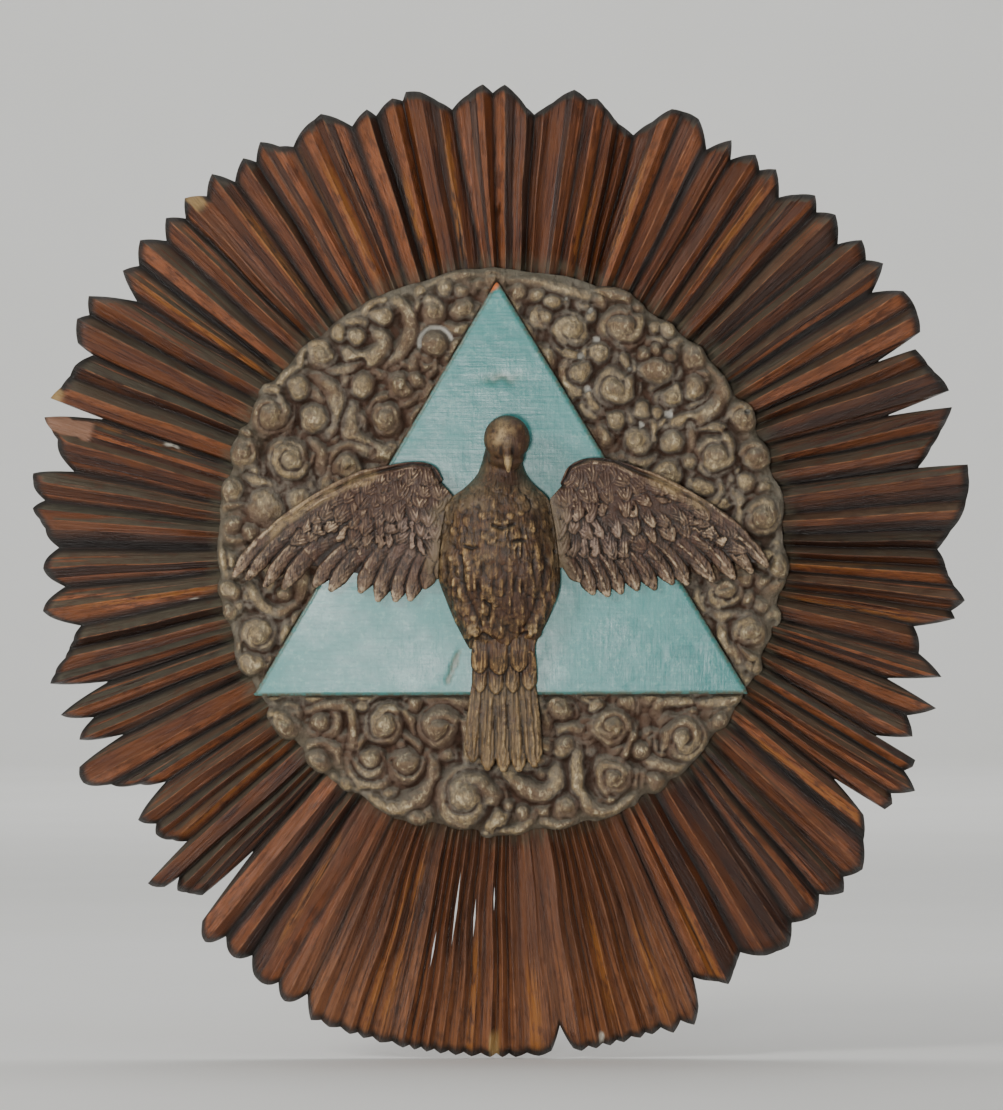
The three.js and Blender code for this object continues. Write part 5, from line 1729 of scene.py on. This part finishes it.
def paint_material():
    """Pale blue-green paint with brush marks and painted glints, worn at the rim."""
    look = Look("pale_green_paint", 0.3, 0.34)
    at = look.place()
    across = look.noise(at, (24, 30, 420), 4, 0.6)
    down = look.noise(at, (420, 30, 60), 3, 0.6)
    blotch = look.noise(at, 11, 5, 0.6)
    speck = look.noise(at, 240, 5, 0.72)
    look.ground("337A7A", "438A88", look.spread(across, 0.34, 0.66))
    look.coat("4C9491", look.spread(blotch, 0.42, 0.6, 0, 0.6))
    look.coat("3E837E", look.spread(down, 0.5, 0.7, 0, 0.4))
    # Painted glints: pale specks that stand in for the gloss catching light
    look.coat("7FB3A9", look.spread(speck, 0.52, 0.68, 0, 0.45))
    look.coat("3F6B66", look.spread(speck, 0.4, 0.3, 0, 0.4))
    look.coat("465C4C", look.mark("smudge"), look.spread(speck, 0.34, 0.54, 0.6, 1.0))
    look.coat("57513F", look.mark("rim"), look.spread(speck, 0.36, 0.58, 0.4, 0.95))
    look.coat("C06A3A", look.mark("chip"))
    look.roughness(look.spread(blotch, 0.35, 0.65, 0.24, 0.36))
    weave = look.plus(look.times(across, 0.8), look.times(down, 0.6))
    look.bump(look.plus(weave, look.times(speck, 0.8)), 0.22, 0.0006)
    return look.finished()


# light and highlight are the colours of painted highlights
def feather_material(name, base, deep, mid, tint, light, highlight):
    """Glazed wood of the dove, with painted shade in its hollows and painted highlights on its raised places
    and feather tips, the tips also dry-brushed.
    """
    look = Look(name, 0.45, 0.45)
    at = look.place()
    broad = look.noise(at, 30, 4, 0.62)
    tinted = look.noise(at, 70, 4, 0.6)
    streak = look.noise(at, (620, 300, 110), 5, 0.68)
    mottle = look.noise(at, 210, 5, 0.7)
    fine = look.noise(at, 620, 3, 0.7)
    proud = look.mark("proud")
    look.ground(base, mid, look.spread(mottle, 0.38, 0.62))
    look.coat(tint, look.spread(tinted, 0.44, 0.6, 0, 0.65))
    look.coat(deep, look.spread(broad, 0.52, 0.66, 0, 0.55))
    look.coat(deep, look.spread(streak, 0.46, 0.62, 0, 0.7))
    # sombre: dark shoulders on the wings; on the body painted shade and shadow on the head and throat, with
    # darker belly patches
    look.coat("432A1D", look.mark("sombre"), look.spread(mottle, 0.3, 0.6, 0.55, 1.0))
    # Lighter feather tips: a painted highlight and dry-brushing
    look.coat(light, look.spread(look.mark("tipped"), 0.1, 0.9), look.spread(streak, 0.64, 0.4),
              look.spread(broad, 0.36, 0.52), 0.5)
    # Painted highlights on what stands proud
    look.coat(light, look.spread(proud, 0.0, 0.8), look.spread(mottle, 0.34, 0.54),
              look.spread(streak, 0.64, 0.44), 0.75)
    look.coat(highlight, look.spread(proud, 0.2, 1.1), look.spread(mottle, 0.44, 0.58),
              look.spread(broad, 0.4, 0.54), 0.8)
    look.coat("9A8377", look.mark("rosy"), look.spread(proud, -0.3, 0.6),
              look.spread(mottle, 0.36, 0.52), 0.5)
    look.coat("6B5C46", look.mark("blend"), look.spread(mottle, 0.36, 0.56, 0.35, 0.9))
    # Painted shade in the hollows
    look.coat(deep, look.spread(proud, -0.05, -0.85, 0, 0.9))
    look.coat("5A5546", look.spread(look.upward(), 0.3, 0.8), look.spread(broad, 0.38, 0.6, 0.2, 1.0), 0.5)
    # pale: the beak, feet, gilt and worn spots, and on the body also painted highlights on the crown and
    # breast
    look.coat("A88F66", look.mark("pale"), look.spread(mottle, 0.36, 0.56, 0.3, 1.0))
    look.roughness(look.spread(mottle, 0.3, 0.7, 0.3, 0.6))
    look.bump(look.plus(streak, look.times(fine, 0.4)), 0.6, 0.0013)
    return look.finished()


def cloth_material():
    look = Look("pale_cloth", 0.9, 0.2)
    look.ground("EEEEEA", "F6F6F4", look.noise(look.place(), 2.5, 3, 0.5))
    return look.finished()


def wear(piece, material):
    piece.data.materials.clear()
    piece.data.materials.append(material)


# Assembly

RAY_BOARDS = [
    "rays_top", "rays_right_upper", "rays_right_chipped", "rays_right", "rays_right_lower", "rays_right_low",
    "rays_bottom_right", "rays_bottom", "rays_bottom_left", "rays_left_lower", "rays_left",
]


def build():
    rays = ray_material()
    for k, name in enumerate(RAY_BOARDS):
        board = ray_board(name, 100 * (k + 1))
        if name == "rays_bottom":
            cut_cracks(board)
        wear(board, rays)
    wear(cloud_disc(), cloud_material())
    wear(triangle_board(), paint_material())
    # The last two colours of each glaze are painted highlights
    wing = feather_material("wing_glaze", "3D2B21", "1B120C", "594333", "54392D", "866E57", "C0AA8C")
    wear(left_wing(), wing)
    wear(right_wing(), wing)
    body = feather_material("body_glaze", "3F2D1C", "1B110A", "5E462B", "50321F", "94754A", "C6A878")
    wear(dove_body(), body)


def stage():
    """A pale floor that turns up into a wall behind, in metres until it is made."""
    half_width = 8
    wall = 8.4
    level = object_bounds()[0][2] - 0.001
    steps = 12
    rows = [(-9.0, level), (4.0, level)]
    for k in range(steps + 1):
        angle = math.pi / 2 * k / steps
        rows.append((wall - 1 + math.sin(angle), level + 1 - math.cos(angle)))
    rows.append((wall, level + 7))
    points = np.array([[side * half_width, z, -y] for y, z in rows for side in (-1, 1)]) * 1000
    faces = [[2 * k, 2 * k + 1, 2 * k + 3, 2 * k + 2] for k in range(len(rows) - 1)]
    sweep = mesh_object("sweep", points, faces, [True] * len(faces), {})
    wear(sweep, cloth_material())
    sweep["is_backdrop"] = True


def area_light(name, where, target, size, power, colour=(1, 1, 1)):
    data = bpy.data.lights.new(name, "AREA")
    data.size = size
    data.energy = power
    data.color = colour
    lamp = bpy.data.objects.new(name, data)
    bpy.context.scene.collection.objects.link(lamp)
    lamp.location = where
    lamp.rotation_mode = "QUATERNION"
    way = Vector(target) - Vector(where)
    lamp.rotation_quaternion = way.to_track_quat("-Z", "Y")
    lamp.visible_camera = False


def lights():
    world = bpy.data.worlds.new("studio")
    world.use_nodes = True
    world.node_tree.nodes["Background"].inputs["Color"].default_value = (0.82, 0.82, 0.81, 1)
    world.node_tree.nodes["Background"].inputs["Strength"].default_value = 0.45
    bpy.context.scene.world = world
    area_light("flash", (-0.2, -2.6, -0.11), (0, 0, 0), 0.22, 27.5, (1, 0.98, 0.95))
    area_light("window", (-1.9, -2.0, 1.1), (0, 0, 0), 0.8, 36, (1, 0.98, 0.96))
    area_light("floor_light", (0, 1.0, 2.8), (0, 4.2, 0), 3.0, 62)
    area_light("backdrop_light", (0, 4.8, 3.0), (0, 8.4, 0.4), 3.0, 74)


def camera():
    """Looks straight at the plaque; the frame is 1003 by 1110 steps of 0.75 mm."""
    distance = 5.0
    carved_depth = 0.012
    tall = PICTURE_HEIGHT * STEP / 1000
    data = bpy.data.cameras.new("camera")
    data.sensor_width = 36
    data.lens = data.sensor_width * distance / tall
    data.clip_end = 100
    made = bpy.data.objects.new("camera", data)
    bpy.context.scene.collection.objects.link(made)
    middle = (MIDDLE[1] - PICTURE_HEIGHT / 2) * STEP / 1000
    made.location = (0, -distance - carved_depth, middle)
    made.rotation_euler = (math.pi / 2, 0, 0)
    bpy.context.scene.camera = made


build()
stage()
lights()
camera()
